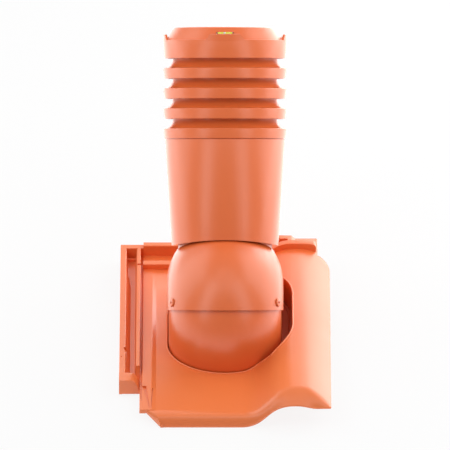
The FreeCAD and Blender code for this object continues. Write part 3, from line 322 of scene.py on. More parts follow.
def rollLine(level, rise, edge, under=0.0):
    # Points from the pan over the flank and the roll to its far edge, or the same line at a distance under it
    foot = (tile["flankFoot"], level)
    brow = (tile["flankFoot"] + tile["flankRun"] * rise / tile["rollHeight"], level + rise)
    crest = (tile["crest"], level + rise)
    width, drop = tile["right"] - crest[0], max(level + rise - edge, 0.5)
    radius = (width ** 2 + drop ** 2) / (2 * drop)
    line = []
    for before, here, after, size, steps in (
            ((-200, level), foot, brow, tile["footRadius"], 8), (foot, brow, crest, tile["browRadius"], 10)):
        corner, a, b = Vector(here), Vector(before) - Vector(here), Vector(after) - Vector(here)
        reach = min(size / math.tan(a.angle(b) / 2), 0.98 * b.length)
        for j in range(steps + 1):
            t = j / steps
            line.append(corner + a.normalized() * reach * (1 - t) ** 2 + b.normalized() * reach * t * t)
    end = math.degrees(math.acos(min(1, width / radius)))
    line += [Vector(p) for p in arcPoints((crest[0], crest[1] - radius), radius, 90, end, 16)]
    if not under:
        return line
    lower = []
    for i, point in enumerate(line):
        along = line[min(i + 1, len(line) - 1)] - line[max(i - 1, 0)]
        lower.append(point + Vector((along.y, -along.x)).normalized() * under)
    return lower


def smoothStep(value, low, high):
    share = min(1, max(0, (value - low) / (high - low)))
    return share * share * (3 - 2 * share)


def noseFall(x, height, t):
    # How far the upper side has fallen at t: late on the pan and at the far edge, early on the crest
    fall = tile["lipDepth"] - tile["lipEdge"]
    if x > tile["crest"]:
        rising = 1 - smoothStep(x, tile["crest"], 134)
        front = tile["edgeFront"] + (tile["rollHeight"] - fall - tile["edgeFront"]) * rising
        fall = height - front
    curl = tile["panCurl"] + (tile["crestCurl"] - tile["panCurl"]) * smoothStep(x, 42, 95)
    curl += (tile["edgeCurl"] - tile["crestCurl"]) * smoothStep(x, 112, tile["right"])
    return fall * t ** curl


def tileSlice(y, t, inset=0.0):
    # The tile's closed section, at t from 0 where the nose starts to 1 at the front edge
    thin = tile["skin"] + (tile["lipEdge"] - tile["skin"]) * t ** tile["panCurl"]
    line = rollLine(0, tile["rollHeight"], tile["edgeHeight"])
    under = rollLine(0, tile["rollHeight"], tile["edgeHeight"], 1.0)
    upper, lower = [], []
    for point, below in zip(line, under):
        away, fallen = below - point, Vector((0, noseFall(point.x, point.y, t)))
        upper.append(point - fallen + away * inset)
        lower.append(point - fallen + away * (thin - inset))
    far = Vector((tile["plateLeft"], upper[0].y))
    outline = [far, *upper, *reversed(lower), Vector((tile["plateLeft"], lower[0].y))]
    return [(point.x, y, point.y) for point in outline]


def makePlate():
    noseStart = tile["front"] + tile["noseLength"]
    slices = [tileSlice(tile["rollBack"], 0)]
    for i in range(tile["noseSteps"] + 1):
        t = math.sin(math.pi / 2 * i / tile["noseSteps"])
        slices.append(tileSlice(noseStart - (tile["noseLength"] - tile["frontSoft"]) * t, t))
    for a in (30, 60, 90):  # the front edge is rounded off
        away = math.radians(a)
        slices.append(tileSlice(tile["front"] + tile["frontSoft"] * (1 - math.sin(away)), 1,
                                tile["frontSoft"] * (1 - math.cos(away))))
    return bridged(slices)


opening = {"radius": 83.1, "half": 41.6, "kink": 46.8, "brow": 66, "rollRadius": 97, "skirtWall": 3,
           "bead": 1.3, "beadPlace": 1, "beadStep": 4}


def openingLine(grow=0.0, steps=28):
    # The opening seen from above: a stadium that is wider in the roll, with a kink between
    small, large, half = opening["radius"] + grow, opening["rollRadius"] + grow, opening["half"]
    kinkAngle = math.degrees(math.acos(opening["kink"] / small))
    browAngle = math.degrees(math.acos(opening["brow"] / large))
    front = arcPoints((0, -half), small, -180, -kinkAngle, steps)
    right = arcPoints((0, -half), large, -browAngle, 0, 14) + arcPoints((0, half), large, 0, browAngle, 14)
    return front + right + arcPoints((0, half), small, kinkAngle, 180, steps)


rails = {
    "front": -164.8, "inside": -143.6, "innerLeft": -128.6, "innerRight": -122.8, "slotRight": -119.6,
    "creaseLeft": -105.2, "panLeft": -99.5, "top": 12, "floor": -5, "underside": -11, "shoulder": 3,
    "innerEnd": -124, "wallFoot": -137.4, "wallFootBack": -141.8, "spread": (129.5, 173), "softness": 1.3,
    "headWall": 10.3, "frontWall": 22,
}


def leftSlice(y, wallFoot, shoulder):
    # Outer rail, channel, inner rail, slot and shoulder; the channel's left wall slopes to wallFoot
    r, s, skin = rails, rails["softness"], tile["skin"]
    points = [
        (tile["left"], r["underside"], 0.6), (tile["left"], r["top"], s), (r["inside"], r["top"], s),
        (wallFoot, r["floor"], 1.5), (r["innerLeft"] - 1, r["floor"], 1.5), (r["innerLeft"], r["top"], 2.2),
        (r["innerRight"], r["top"], 0.8), (r["innerRight"] + 0.4, -2, 0.8), (r["slotRight"] - 0.4, -2, 0.8),
        (r["slotRight"], shoulder, 1.4), (r["creaseLeft"], shoulder, 6), (r["panLeft"], -0.05, 6),
        (r["panLeft"] + 3, -0.15, 0), (r["panLeft"] + 3, 0.5 - skin, 0),
        (r["innerRight"] + 1.6, 0.5 - skin, 0),
        (r["innerRight"] + 1.6, r["floor"] - skin, 0), (tile["left"] + skin, r["floor"] - skin, 0),
        (tile["left"] + skin, r["underside"], 0.6),
    ]
    return [(x, y, z) for x, z in roundCorners([p[:2] for p in points], [p[2] for p in points])]


def makeRails():
    r = rails
    block = bridged([leftSlice(r["front"], r["wallFoot"], r["shoulder"]),
                     leftSlice(-30, r["wallFoot"], r["shoulder"]),
                     leftSlice(60, r["wallFoot"], 1.9), leftSlice(r["spread"][0], r["wallFoot"], 0.6),
                     leftSlice(r["spread"][1], r["wallFootBack"], 0.6),
                     leftSlice(tile["back"], r["wallFootBack"], 0.6)])
    # The inner rail ends before the front, on a slant
    runOut = extruded([(-300, r["floor"] + 0.01), (r["innerEnd"] - 4, r["floor"] + 0.01), (r["innerEnd"], 2),
                       (r["innerEnd"] + 3, 30), (-300, 30)], r["innerLeft"] - 2, r["innerRight"] + 0.8, "X")
    # Marks in the rails' tops
    notches = [extruded([(165.5, r["top"] - 3), (170, r["top"] - 3), (170, 20), (165.5, 20)],
                        r["innerLeft"] + 1, r["innerRight"] + 2, "X"),
               extruded([(r["inside"] - 3, -70), (r["inside"] + 2, -70), (r["inside"] + 2, -92)], 6, 20, "Z"),
               extruded(arcPoints((-149.2, -97), 1.3, 0, 330, 11), r["top"] - 2, 20, "Z")]
    block = cut(block, runOut, *notches)
    arch = [(tile["left"], r["underside"]), (tile["left"], r["top"]), (-137, r["top"])]
    arch += [(-137 + 14.2 * math.sin(math.radians(a)), -8.5 + 20.5 * math.cos(math.radians(a)))
             for a in range(9, 91, 9)]
    arch += [(r["innerRight"], r["underside"])]
    frontWall = extruded(arch, r["front"], r["front"] + r["frontWall"])
    frontWall = rounded(frontWall, lambda edge: all(abs(v.co.y - r["front"]) < 0.01 for v in edge.verts), 1.0)
    wallFront = tile["back"] - r["headWall"]
    headWall = extruded([(wallFront, r["floor"] - 1), (wallFront, r["top"]), (tile["back"], r["top"]),
                         (tile["back"], r["floor"] - 1)], tile["left"] + 2, r["slotRight"] + 1.5, "X")
    ridge = extruded([(204.5, r["floor"] - 1), (205, -1.5), (206.5, -0.8), (208, -1.5),
                      (208.5, r["floor"] - 1)],
                     r["wallFootBack"] - 3, r["innerLeft"] + 1, "X")
    return united(block, frontWall, headWall, ridge)


def makeStep():
    # Shoulder in front of the rails, with grooves that draw together towards the cut corner
    r = rails
    slices = []
    for y, rise, under in ((-228.8, 0.4, -5), (-227.9, 1.1, -5.2), (r["front"] + 1, r["shoulder"], -5.2)):
        section = roundCorners([
            (r["innerRight"], rise - 1), (r["slotRight"], rise), (r["creaseLeft"], rise),
            (r["panLeft"], -0.05), (r["panLeft"] + 3, -0.15), (r["panLeft"] + 3, -3.5), (-114, -3.5),
            (-114, under), (r["innerRight"], under)],
            [1, 0.6, 6, 6, 0, 0, 0, 0, 0.5])
        slices.append([(x, y, z) for x, z in section])
    step = bridged(slices)
    grooves = [extruded(points, 0.4, 10, "Z") for points in (
        [(-119.3, -164), (-113.6, -162), (-107.6, -222), (-108.6, -223)],
        [(-122.0, -150), (-119.6, -150), (-119.6, -205), (-120.8, -203)],
        [(-104.6, -170), (-103.4, -170), (-105.6, -222), (-106.4, -222)])]
    return cut(step, *grooves)


head = {"ribFront": 173.4, "ribTop": 8.5, "ribRound": 1.2, "right": 134.6, "shelfTop": 22.7, "boxTop": 28}


def makeHead():
    # End rib over the pan and roll, trough, box, shelf and head rib
    ribTop = [p for p in rollLine(head["ribTop"], tile["rollHeight"], 37) if p.x < 129]
    ribEnd = [Vector((131.5, ribTop[-1].y - 2.2)), Vector((132.6, ribTop[-1].y - 5)),
              Vector((132.6, ribTop[-1].y - 12))]
    ribLow = [p for p in rollLine(-2, tile["rollHeight"], tile["edgeHeight"] - 2) if p.x < 129.5]
    ribLeft = rails["slotRight"] + 0.4
    outline = [(ribLeft, -2), (ribLeft, head["ribTop"]), *ribTop, *ribEnd, *reversed(ribLow)]
    endRib = extruded([tuple(p) for p in outline], head["ribFront"], tile["rollBack"])

    def onRibFront(edge):
        # The rib's front edges well above the tile
        return edge.calc_length() > 0.1 and all(abs(v.co.y - head["ribFront"]) < 0.01
                                                and v.co.z > topAt(v.co.x) + 4 for v in edge.verts)

    endRib = rounded(endRib, onRibFront, head["ribRound"])
    section = roundCorners([
        (tile["plateLeft"], -0.3), (77, -0.3), (77, head["boxTop"]), (97, head["boxTop"]),
        (102, head["shelfTop"]), (head["right"], head["shelfTop"]), (head["right"], 10),
        (130.6, 10), (130.6, 18.7), (101, 18.7), (96, 20), (81, 20), (81, -3.8), (tile["plateLeft"], -3.8)],
        [0, 3, 1.2, 1.2, 1.2, 2.2, 0.5, 0.5, 1, 1, 1, 1, 1, 0], 3)
    shelf = extruded(section, tile["rollBack"] - 4, tile["back"])
    recess = extruded([(77.7, 203.9), (91.3, 203.9), (91.3, 214.9), (77.7, 214.9)], 22.2, 40, "Z")
    headRib = extruded(roundCorners([
        (tile["back"] - 11, -3), (tile["back"] - 11, 16.6), (tile["back"], 16.6), (tile["back"], -3)],
        [0, 1.6, 1.2, 0]), rails["slotRight"] + 0.8, 81, "X")
    return united(cut(shelf, recess), endRib, headRib)


corner = {"start": (-112.5, -228.8), "along": (0.682, -0.7317), "out": (-0.7317, -0.682), "length": 30.07,
          "reach": (3, 5.6), "fall": (3, 13), "depth": (5, 15.8), "wall": 2.6}


def cornerPoint(place, across, height):
    # A point at a place along the cut corner, and across it outwards
    x, y = (corner["start"][i] + corner["along"][i] * place + corner["out"][i] * across for i in (0, 1))
    return x, y, height


def cornerValue(name, place):
    low, high = corner[name]
    return low + (high - low) * min(1, max(0, place / corner["length"]))


def cornerLine(place, widest):
    # The rounded upper edge, from as far in as widest to the outside
    reach, fall = cornerValue("reach", place), cornerValue("fall", place)
    first = math.degrees(math.asin(max(0, 1 - widest / reach)))
    angles = [math.radians(first + (90 - first) * i / 9) for i in range(10)]
    return [(reach * (math.sin(a) - 1), -fall * (1 - math.cos(a))) for a in angles]


def makeCornerRound():
    # Takes off the cut corner's upper edge, more and more towards the front
    slices = []
    for place in (-3, 0, 10, 20, 30, 46):
        fall = cornerValue("fall", place)
        ring = [(-cornerValue("reach", place), 3)] + cornerLine(place, 10) + [(4, -fall), (4, 3)]
        slices.append([cornerPoint(place, across, height) for across, height in ring])
    return bridged(slices)


def makeCornerWall():
    # The front lip goes on round the cut corner, and runs out at the step
    slices = []
    for place in (-3, 0, 6, 12, 17, 21, 24, 26, 27.5, 28.7, 29.8, 34):
        ring = []
        for across, height in cornerLine(place, corner["wall"]):
            x, y, z = cornerPoint(place, across, height)
            t = (tile["front"] + tile["noseLength"] - y) / (tile["noseLength"] - tile["frontSoft"])
            t = min(1, max(0, t))
            ring.append((x, y, min(z, -noseFall(x, 0, t)) - 0.04))
        depth = cornerValue("depth", place)
        ring += [cornerPoint(place, 0, -depth), cornerPoint(place, -corner["wall"], -depth)]
        slices.append(ring)
    wall = bridged(slices)
    bmesh.ops.bisect_plane(wall, geom=wall.verts[:] + wall.edges[:] + wall.faces[:],
                           plane_co=(0, tile["front"] + 0.03, 0), plane_no=(0, -1, 0), clear_outer=True)
    bmesh.ops.holes_fill(wall, edges=[edge for edge in wall.edges if edge.is_boundary], sides=0)
    bmesh.ops.recalc_face_normals(wall, faces=wall.faces[:])
    return wall


cornerCut = extruded([(-124, -228.8), (-112.5, -228.8), (-92, -250.8), (-92, -300), (-124, -300)],
                     -60, 60, "Z")
# The roll's far corner is cut away in a quarter of an ellipse
notch = {"foot": 140.8, "reach": 25, "width": 17.8}
notchLine = [(head["right"] + notch["width"] * math.sin(math.radians(a)),
              notch["foot"] + notch["reach"] * math.cos(math.radians(a))) for a in range(0, 91, 9)]
notchCut = extruded([(head["right"], 260), *notchLine, (200, notch["foot"]), (200, 260)], -60, 80, "Z")


def followed(path, radius, closed=True, sides=10):
    # A round bead along a path of points
    rings = []
    for i, point in enumerate(path):
        here = Vector(point)
        before = Vector(path[i - 1] if closed or i else path[0])
        after = Vector(path[(i + 1) % len(path)] if closed or i + 1 < len(path) else path[i])
        along = (after - before).normalized()
        side = along.cross(Vector((0, 0, 1))).normalized()
        up = side.cross(along)
        rings.append([here + (side * math.cos(math.tau * j / sides)
                              + up * math.sin(math.tau * j / sides)) * radius
                      for j in range(sides)])
    if not closed:
        return bridged(rings)
    bm = bmesh.new()
    loops = []
    for ring in rings:
        verts = [bm.verts.new(point) for point in ring]
        loops.append([bm.edges.new((a, b)) for a, b in zip(verts, verts[1:] + verts[:1])])
    for first, second in zip(loops, loops[1:] + loops[:1]):
        bmesh.ops.bridge_loops(bm, edges=first + second)
    bmesh.ops.recalc_face_normals(bm, faces=bm.faces[:])
    return bm


def topAt(x):
    # Height of the tile's upper side at x, away from the nose
    line = rollLine(0, tile["rollHeight"], tile["edgeHeight"])
    if x <= line[0].x:
        return 0.0
    for a, b in zip(line, line[1:]):
        if a.x <= x <= b.x and b.x > a.x:
            return a.y + (b.y - a.y) * (x - a.x) / (b.x - a.x)
    return tile["edgeHeight"]


def beadPath():
    path = []
    outline = openingLine(opening["beadPlace"])
    for (x, y), (nextX, nextY) in zip(outline, outline[1:] + outline[:1]):
        pieces = max(1, int(math.hypot(nextX - x, nextY - y) / opening["beadStep"]))
        for j in range(pieces):
            px, py = x + (nextX - x) * j / pieces, y + (nextY - y) * j / pieces
            path.append((px, py, topAt(px) + 0.3))
    return path


plate = cut(makePlate(), cornerCut, notchCut, makeCornerRound())
tileMesh = united(plate, makeRails(), makeStep(), makeHead(), makeCornerWall())
skirt = cut(extruded(openingLine(opening["skirtWall"]), -4, 40, "Z"),
            extruded([(-200, 60), (-200, -1)]
                     + [(p.x, p.y - 1) for p in rollLine(0, tile["rollHeight"], tile["edgeHeight"])]
                     + [(200, 8), (200, 60)], -200, 200))
tileMesh = united(tileMesh, skirt)
tileMesh = cut(tileMesh, extruded(openingLine(), -60, 80, "Z"))
lip = followed(beadPath(), opening["bead"])
finishPiece("tileShell", joined(tileMesh, lip), tilePlace, "base", tilePlastic,
            ["tile_plate"], sharp=28)
print("tile made")

# Swivel: fixed seat, tilting hood

swivel = {"seatRadius": 81.4, "seatCore": 44, "seatWall": 2.5, "frontTop": 48, "rearTop": 22,
          "flangeTop": -29.7, "flangeThick": 2.5, "flangeHalf": 109, "beadRadius": 92.6, "bead": 1.2,
          "hoodRadius": 84.2, "hoodCore": 46.5, "hoodWall": 2.4, "rim": 7.2, "rimBreak": 12, "rimSlope": 34.9,
          "neck": 68, "neckTop": 166}


def drumFilled(radius, core):
    # A solid drum about X, with flat cheeks and round edges
    rim = [(core + radius * math.sin(math.pi * i / 48), radius * math.cos(math.pi * i / 48))
           for i in range(49)]
    return lathe([(0, radius)] + rim + [(0, -radius)], 160, (1, 0, 0))


def drumShell(radius, core, wall):
    return cut(drumFilled(radius, core), drumFilled(radius - wall, core))


def halfSpace(points, size=300):
    # A thick slab in the YZ plane, for cuts straight across the drum
    return extruded(points, -size, size, "X")


reach = swivel["seatCore"] + swivel["seatRadius"]
seatFront = (-reach * math.cos(math.radians(swivel["frontTop"])),
             reach * math.sin(math.radians(swivel["frontTop"])))
seatRear = (reach * math.cos(math.radians(swivel["rearTop"])),
            reach * math.sin(math.radians(swivel["rearTop"])))
slope = (seatRear[1] - seatFront[1]) / (seatRear[0] - seatFront[0])
seatLine = [(y, seatFront[1] + slope * (y - seatFront[0])) for y in (-250, 250)]
flangeFoot = swivel["flangeTop"] - swivel["flangeThick"]
aboveSeat = halfSpace([seatLine[0], seatLine[1], (250, 300), (-250, 300)])
belowSeat = halfSpace([(-250, flangeFoot), (250, flangeFoot), (250, -300), (-250, -300)])
drum = cut(drumShell(swivel["seatRadius"], swivel["seatCore"], swivel["seatWall"]), aboveSeat, belowSeat)
flangeRing = extruded(arcPoints((0, -opening["half"]), swivel["flangeHalf"], -180, 0, 36)
                      + arcPoints((0, opening["half"]), swivel["flangeHalf"], 0, 180, 36),
                      flangeFoot, swivel["flangeTop"], "Z")
flange = cut(flangeRing, drumFilled(swivel["seatRadius"] - 1.2, swivel["seatCore"]))
beadArcs = (arcPoints((0, -opening["half"]), swivel["beadRadius"], -44, 0, 12)
            + arcPoints((0, opening["half"]), swivel["beadRadius"], 0, 44, 12))
bead = followed([(x, y, swivel["flangeTop"] + swivel["bead"]) for x, y in beadArcs], swivel["bead"],
                closed=False)
finishPiece("swivelSeat", drum, seatPlace, "base", ventPlastic, ["swivel_seat"], sharp=40,
            bevel=0.4)
# The flange takes the darker plastic, which is painted shade for the gap it sits in.
finishPiece("seatFlange", joined(flange, bead), seatPlace, "base", shadedFlangePlastic, sharp=40,
            bevel=0.4)

rimRise = (300 - swivel["rimBreak"]) * math.tan(math.radians(swivel["rimSlope"]))
rimCut = halfSpace([(-300, swivel["rim"]), (swivel["rimBreak"], swivel["rim"]),
                    (300, swivel["rim"] + rimRise),
                    (300, -300), (-300, -300)])
hood = cut(drumShell(swivel["hoodRadius"], swivel["hoodCore"], swivel["hoodWall"]),
           rimCut, lathe([(0, 60), (swivel["neck"] - 1, 60), (swivel["neck"] - 1, 200), (0, 200)], 96))
neck = cut(lathe([(swivel["neck"] - 2.4, 88), (swivel["neck"], 88), (swivel["neck"], swivel["neckTop"]),
                  (swivel["neck"] - 2.4, swivel["neckTop"])], 96),
           drumFilled(swivel["hoodRadius"] - swivel["hoodWall"] + 0.6, swivel["hoodCore"]))
finishPiece("swivelHood", joined(hood, neck), headPlace, "head", ventPlastic, ["swivel_hood"],
            sharp=40, bevel=0.5)
print("swivel made")

# Clamp screws with their domed rings

clamp = {"across": 75.7, "height": 18.2, "ring": 6, "hole": 2.1, "mouth": 1.75, "rise": 2.1, "sink": 0.4,
         "shank": 2, "tip": 2.8}
for side, sideName in ((-1, "Left"), (1, "Right")):
    across = side * clamp["across"]
    out = swivel["hoodCore"] + math.sqrt(swivel["hoodRadius"] ** 2 - across ** 2)
    back = -math.sqrt(out ** 2 - clamp["height"] ** 2)
    inward = (out - swivel["hoodCore"]) / swivel["hoodRadius"]
    facing = Vector((across / swivel["hoodRadius"], inward * back / out, inward * clamp["height"] / out))
    seated = headPlace @ Matrix.Translation((across, back, clamp["height"])) @ turnedTo(facing, "Z")
    crown = clamp["sink"] + clamp["rise"]
    ring = lathe([(clamp["hole"], clamp["sink"])]
                 + [(clamp["ring"], clamp["sink"]), (clamp["ring"], clamp["sink"] + 0.5)]
                 + [(clamp["hole"] + 1.2 + (clamp["ring"] - clamp["hole"] - 1.2) * math.cos(math.radians(a)),
                     clamp["sink"] + 0.5 + (clamp["rise"] - 0.5) * math.sin(math.radians(a)))
                     for a in range(15, 91, 15)]
                 + [(clamp["mouth"] + 0.3, crown - 0.1), (clamp["mouth"], crown - 0.5),
                    (clamp["mouth"], crown - 1.6),
                    (clamp["hole"], crown - 1.6)], 48)
    finishPiece(f"clampRing{sideName}", ring, seated, "head", ventPlastic,
                [f"hood_washer_{sideName.lower()}"], sharp=40)
    screw = lathe([(0, -clamp["tip"]), (clamp["shank"], -clamp["tip"]), (clamp["shank"], crown - 2.4),
                   (clamp["shank"] - 0.4, crown - 2.2), (0, crown - 2.2)], 40)
    finishPiece(f"clampScrew{sideName}", screw, seated, "head", screwSteel,
                [f"hood_screw_{sideName.lower()}"], sharp=40)
print("clamps made")

# Outer pipe

pipe = {"base": 99.6, "top": 254.3, "baseRadius": 77.3, "topRadius": 86.7, "wall": 2.2, "collar": 84.8,
        "stand": 5, "archCrown": 108.1, "archRadius": 392, "neckTop": 166, "web": 2.4, "duct": 55.3,
        "foot": 85}


def radiusAt(height):
    # The pipe's outside, which widens upwards
    share = (height - pipe["base"]) / (pipe["top"] - pipe["base"])
    return pipe["baseRadius"] + (pipe["topRadius"] - pipe["baseRadius"]) * share


webTop = pipe["neckTop"] + pipe["web"]
outerPipe = lathe([
    (radiusAt(pipe["foot"]), pipe["foot"]), (radiusAt(pipe["top"] - 1), pipe["top"] - 1),
    (pipe["topRadius"] - 0.4, pipe["top"] - 0.25),
    (pipe["topRadius"] - 1.2, pipe["top"]), (pipe["collar"], pipe["top"]),
    (pipe["collar"], pipe["top"] + pipe["stand"]),
    (pipe["collar"] - pipe["wall"], pipe["top"] + pipe["stand"]),
    (pipe["collar"] - pipe["wall"], pipe["top"] - pipe["wall"]),
    (radiusAt(pipe["top"] - 2 * pipe["wall"]) - pipe["wall"], pipe["top"] - 2 * pipe["wall"]),
    (radiusAt(webTop) - pipe["wall"], webTop), (pipe["duct"], webTop), (pipe["duct"], pipe["neckTop"]),
    (radiusAt(pipe["neckTop"]) - pipe["wall"], pipe["neckTop"]),
    (radiusAt(pipe["foot"]) - pipe["wall"], pipe["foot"])], 160)
archCentre = pipe["archCrown"] - pipe["archRadius"]
archLine = [(x, archCentre + math.sqrt(pipe["archRadius"] ** 2 - x ** 2)) for x in range(-100, 101, 4)]
archTool = extruded([(-100, 60), *archLine, (100, 60)], -150, 150, "Y")
outerPipe = cut(outerPipe, archTool)
finishPiece("outerPipe", outerPipe, headPlace, "head", ventPlastic, ["outer_pipe"],
            sharp=40, bevel=0.5)
print("pipe made")

# Louvre rings

louvre = {"base": 254.3, "pitch": 29.1, "band": 15.2, "footRadius": 87.7, "topRadius": 89.3, "ledge": 0.4,
          "wall": 2, "stand": 5, "softEdge": 0.9}
for number in (4, 3, 2, 1):
    base = louvre["base"] + (4 - number) * louvre["pitch"]
    following, gap = base + louvre["pitch"], louvre["pitch"] - louvre["band"]
    flare, top = louvre["topRadius"] - louvre["ledge"], base + louvre["band"]
    outside = arcPoints((flare + 0.4, following), gap, 270, 180, 20)
    inside = arcPoints((flare + 0.4, following), gap + louvre["wall"], 180, 262, 16)
    softTop = [(louvre["topRadius"] - louvre["softEdge"] * (1 - math.cos(math.radians(a))),
                top - louvre["softEdge"] * (1 - math.sin(math.radians(a)))) for a in range(0, 91, 18)]
    foot = base + (0.7 if number == 4 else 0)  # the lowest band stands a little off the pipe
    collar = following + louvre["stand"]
    profile = [(louvre["footRadius"] - 0.5, foot), (louvre["footRadius"], foot + 0.4), *softTop, *outside[2:],
               (outside[-1][0], collar), (outside[-1][0] - louvre["wall"], collar), *inside,
               (louvre["footRadius"] - 2.4, foot)]
    ring = lathe(profile, 160)
    fins = []
    for i in range(6):
        fin = extruded([(71, base + 5), (86, base + 5), (86, top - 2), (76, following - 7),
                        (74, following), (71, following)], -1, 1)
        bmesh.ops.rotate(fin, verts=fin.verts[:], cent=(0, 0, 0),
                         matrix=Matrix.Rotation(math.tau * i / 6, 3, "Z"))
        fins.append(fin)
    finishPiece(f"louvreRing{number}", joined(ring, *fins), headPlace, "head", ventPlastic,
                [f"louvre_ring_{number}"], sharp=36)
print("louvres made")

# Cap with grip tabs and spirit level

cap = {"base": 370.7, "band": 26.5, "rise": 44.5, "footRadius": 87.7, "topRadius": 89.3, "shoulder": 85.4,
       "crown": 74.3, "crownRise": 1.4, "wall": 2.4, "tabHalf": 27.6, "tabTopHalf": 21.6, "tabHeight": 8,
       "vialBack": -79.2, "vialHeight": 404.8, "vialRadius": 3.2, "vialHalf": 12.5}
shoulderBase, capTop = cap["base"] + cap["band"], cap["base"] + cap["rise"]
capProfile = [
    (0, capTop + cap["crownRise"]), (40, capTop + cap["crownRise"] * 0.8), (cap["crown"] - 6, capTop + 0.45),
    (cap["crown"] - 1.6, capTop + 0.1), (cap["crown"] - 0.6, capTop - 0.4),
    (cap["crown"] + 0.4, capTop - 1.6),
    (cap["shoulder"], shoulderBase + 0.2), (cap["shoulder"] + 0.6, shoulderBase),
    (cap["topRadius"] - 0.8, shoulderBase), (cap["topRadius"] - 0.2, shoulderBase - 0.25),
    (cap["topRadius"], shoulderBase - 0.9), (cap["footRadius"], cap["base"] + 0.4),
    (cap["footRadius"] - 0.5, cap["base"]),
    (cap["footRadius"] - 2.4, cap["base"]), (cap["topRadius"] - cap["wall"] - 1.5, shoulderBase - 2.4),
    (cap["shoulder"] - 2.6, shoulderBase - 1), (cap["crown"] - 2.4, capTop - 2), (0, capTop - 1)]
capShell = lathe(capProfile, 160)
tabs = []
for i in range(4):
    # A trapezoid of the band's own wall, carried up past the shoulder
    tabTop = shoulderBase + cap["tabHeight"]
    wall = lathe([(cap["shoulder"] + 0.4, shoulderBase - 2), (cap["topRadius"] + 0.1, shoulderBase - 2),
                  (cap["topRadius"] + 0.1, tabTop - 0.5), (cap["topRadius"] - 0.8, tabTop),
                  (cap["shoulder"] + 1.2, tabTop)], 160)
    tab = shared(wall, extruded([
        (-cap["tabHalf"] - 1.5, shoulderBase - 2), (-cap["tabHalf"], shoulderBase),
        (-cap["tabTopHalf"], tabTop),
        (cap["tabTopHalf"], tabTop), (cap["tabHalf"], shoulderBase),
        (cap["tabHalf"] + 1.5, shoulderBase - 2)],
        -120, -60))
    bmesh.ops.rotate(tab, verts=tab.verts[:], cent=(0, 0, 0),
                     matrix=Matrix.Rotation(math.tau * i / 4, 3, "Z"))
    tabs.append(tab)


def rod(radius, half, soften=0.0):
    # A rod along X on the level's axis
    profile = [(0, -half), (radius - soften, -half), (radius, soften - half), (radius, half - soften),
               (radius - soften, half), (0, half)]
    bar = lathe(profile, 40, (1, 0, 0))
    bmesh.ops.translate(bar, verts=bar.verts[:], vec=(0, cap["vialBack"], cap["vialHeight"]))
    return bar


capFilled = lathe(capProfile[:12] + [(0, cap["base"])], 160)
cradle = shared(rod(cap["vialRadius"] + 2.4, cap["vialHalf"] + 2.4), capFilled)
capShell = cut(united(capShell, cradle), rod(cap["vialRadius"] + 0.3, cap["vialHalf"] + 0.3))
finishPiece("ventCap", joined(capShell, *tabs), headPlace, "head", ventPlastic, ["cap"],
            sharp=30, bevel=0.5)
finishPiece("levelVial", rod(cap["vialRadius"], cap["vialHalf"], 0.6), headPlace, "head",
            clearAcrylic,
            ["level_vial"])
bubble = bmesh.new()
bmesh.ops.create_icosphere(bubble, subdivisions=3, radius=1, matrix=Matrix.Translation(
    (-0.7, cap["vialBack"] - 0.6, cap["vialHeight"] + 0.9)) @ Matrix.Diagonal((2.3, 2, 2, 1)))
finishPiece("levelBubble", bubble, headPlace, "head", airBubble)
finishPiece("levelFluid", rod(2.45, 10.4, 0.5), headPlace, "head", levelFluid, ["level_fluid"])
print("cap and level made")

# Closed pieces inside, which keep their own shapes

inner = {"inner_pipe": greyPipe, "duct_seal": sealRubber, "insulation_sleeve": beadFoam,
         "seat_gasket": sealRubber, "seat_screws": screwSteel}
for node, material in inner.items():
    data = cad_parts[node].data
    data.materials.clear()
    data.materials.append(material)
print("inner pieces dressed")

# Floor, lights and camera

studio = {"floorSize": 60, "floorLevel": -0.0405, "target": (0, 0.0451, 0.1241), "width": 0.650, "lens": 1200,
          "fill": 0.11, "sweep": 3.2}
floorBm = bmesh.new()
bmesh.ops.create_grid(floorBm, x_segments=1, y_segments=1, size=studio["floorSize"])
bmesh.ops.translate(floorBm, verts=floorBm.verts[:], vec=(0, 0, studio["floorLevel"] - 0.0005))
floorData = bpy.data.meshes.new("floor")
floorBm.to_mesh(floorData)
floorBm.free()
floor = bpy.data.objects.new("floor", floorData)
bpy.context.scene.collection.objects.link(floor)
paleFloor, floorShader = newMaterial("paleFloor", Roughness=0.9, Base_Color=fromHex("D8D8D8"))
rays = addNode(paleFloor, "ShaderNodeLightPath")
bright = addNode(paleFloor, "ShaderNodeMapRange", Value=rays.outputs["Is Glossy Ray"], To_Min=1.0,
                 To_Max=studio["sweep"])
white = addNode(paleFloor, "ShaderNodeEmission", Color=(1, 1, 1, 1), Strength=bright.outputs["Result"])
seen = addNode(paleFloor, "ShaderNodeMath", {"operation": "MAXIMUM"}, in0=rays.outputs["Is Camera Ray"],
               in1=rays.outputs["Is Glossy Ray"])
passed = addNode(paleFloor, "ShaderNodeMath", {"operation": "MAXIMUM"}, in0=seen.outputs[0],
                 in1=rays.outputs["Is Transmission Ray"])
share = addNode(paleFloor, "ShaderNodeMath", {"operation": "MULTIPLY"}, in0=passed.outputs[0], in1=0.88)
mixed = addNode(paleFloor, "ShaderNodeMixShader", in0=share.outputs[0], in1=floorShader.outputs[0],
                in2=white.outputs[0])
paleFloor.node_tree.links.new(mixed.outputs[0],
                              paleFloor.node_tree.nodes["Material Output"].inputs["Surface"])
floorData.materials.append(paleFloor)

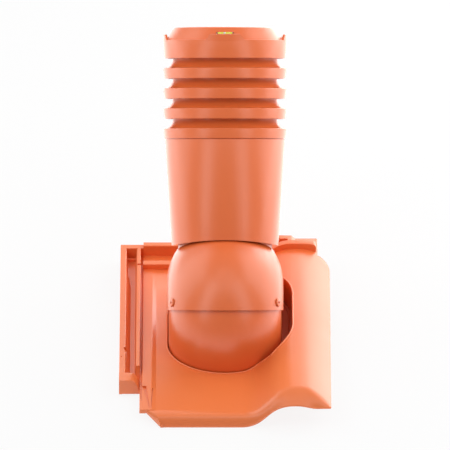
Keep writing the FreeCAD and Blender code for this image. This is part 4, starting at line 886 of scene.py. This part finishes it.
world = bpy.data.worlds.new("studio")
bpy.context.scene.world = world
world.use_nodes = True
worldRays = addNode(world, "ShaderNodeLightPath")
directly = addNode(world, "ShaderNodeMath", {"operation": "MAXIMUM"}, in0=worldRays.outputs["Is Camera Ray"],
                   in1=worldRays.outputs["Is Glossy Ray"])
through = addNode(world, "ShaderNodeMath", {"operation": "MAXIMUM"}, in0=directly.outputs[0],
                  in1=worldRays.outputs["Is Transmission Ray"])
level = addNode(world, "ShaderNodeMapRange", Value=through.outputs[0], To_Min=studio["fill"], To_Max=1.0)
world.node_tree.links.new(level.outputs["Result"], world.node_tree.nodes["Background"].inputs["Strength"])
world.node_tree.nodes["Background"].inputs["Color"].default_value = (1, 1, 1, 1)


def areaLight(name, azimuth, elevation, distance, width, height, power):
    # Azimuth 0 is in front of the object, 90 at its right
    target = Vector(studio["target"])
    a, e = math.radians(azimuth), math.radians(elevation)
    back = Vector((math.sin(a) * math.cos(e), -math.cos(a) * math.cos(e), math.sin(e)))
    data = bpy.data.lights.new(name, "AREA")
    data.shape = "RECTANGLE"
    data.size, data.size_y, data.energy = width, height, power
    lamp = bpy.data.objects.new(name, data)
    bpy.context.scene.collection.objects.link(lamp)
    lamp.matrix_world = Matrix.Translation(target + back * distance) @ turnedTo(-back, "-Z")


lights = {  # azimuth, elevation, distance, width, height, power
    "frontLeft": (-46, 38, 1.7, 0.55, 1.6, 8.5),
    "frontRight": (46, 38, 1.7, 0.55, 1.6, 7.8),
    "rimLeft": (-108, 28, 1.5, 1.2, 1.8, 14),
    "rimRight": (108, 28, 1.5, 1.2, 1.8, 17),
    "glareRight": (152, 12, 1.7, 1.4, 1.0, 17),
    "behind": (180, 40, 1.9, 2.2, 1.2, 8),
    "overhead": (0, 72, 2.2, 1.4, 1.4, 7.5),
}
for name, values in lights.items():
    areaLight(name, *values)

cameraData = bpy.data.cameras.new("camera")
cameraData.lens = studio["lens"]
cameraData.sensor_width = 36
camera = bpy.data.objects.new("camera", cameraData)
bpy.context.scene.collection.objects.link(camera)
away = studio["width"] * studio["lens"] / 36
sight = Vector((0, math.cos(math.radians(roof["pitch"])), -math.sin(math.radians(roof["pitch"]))))
camera.matrix_world = Matrix.Translation(Vector(studio["target"]) - sight * away) @ turnedTo(sight, "-Z")
cameraData.clip_start, cameraData.clip_end = 0.1, 200
bpy.context.scene.camera = camera
bpy.context.scene.view_settings.view_transform = "Standard"
print("studio ready")
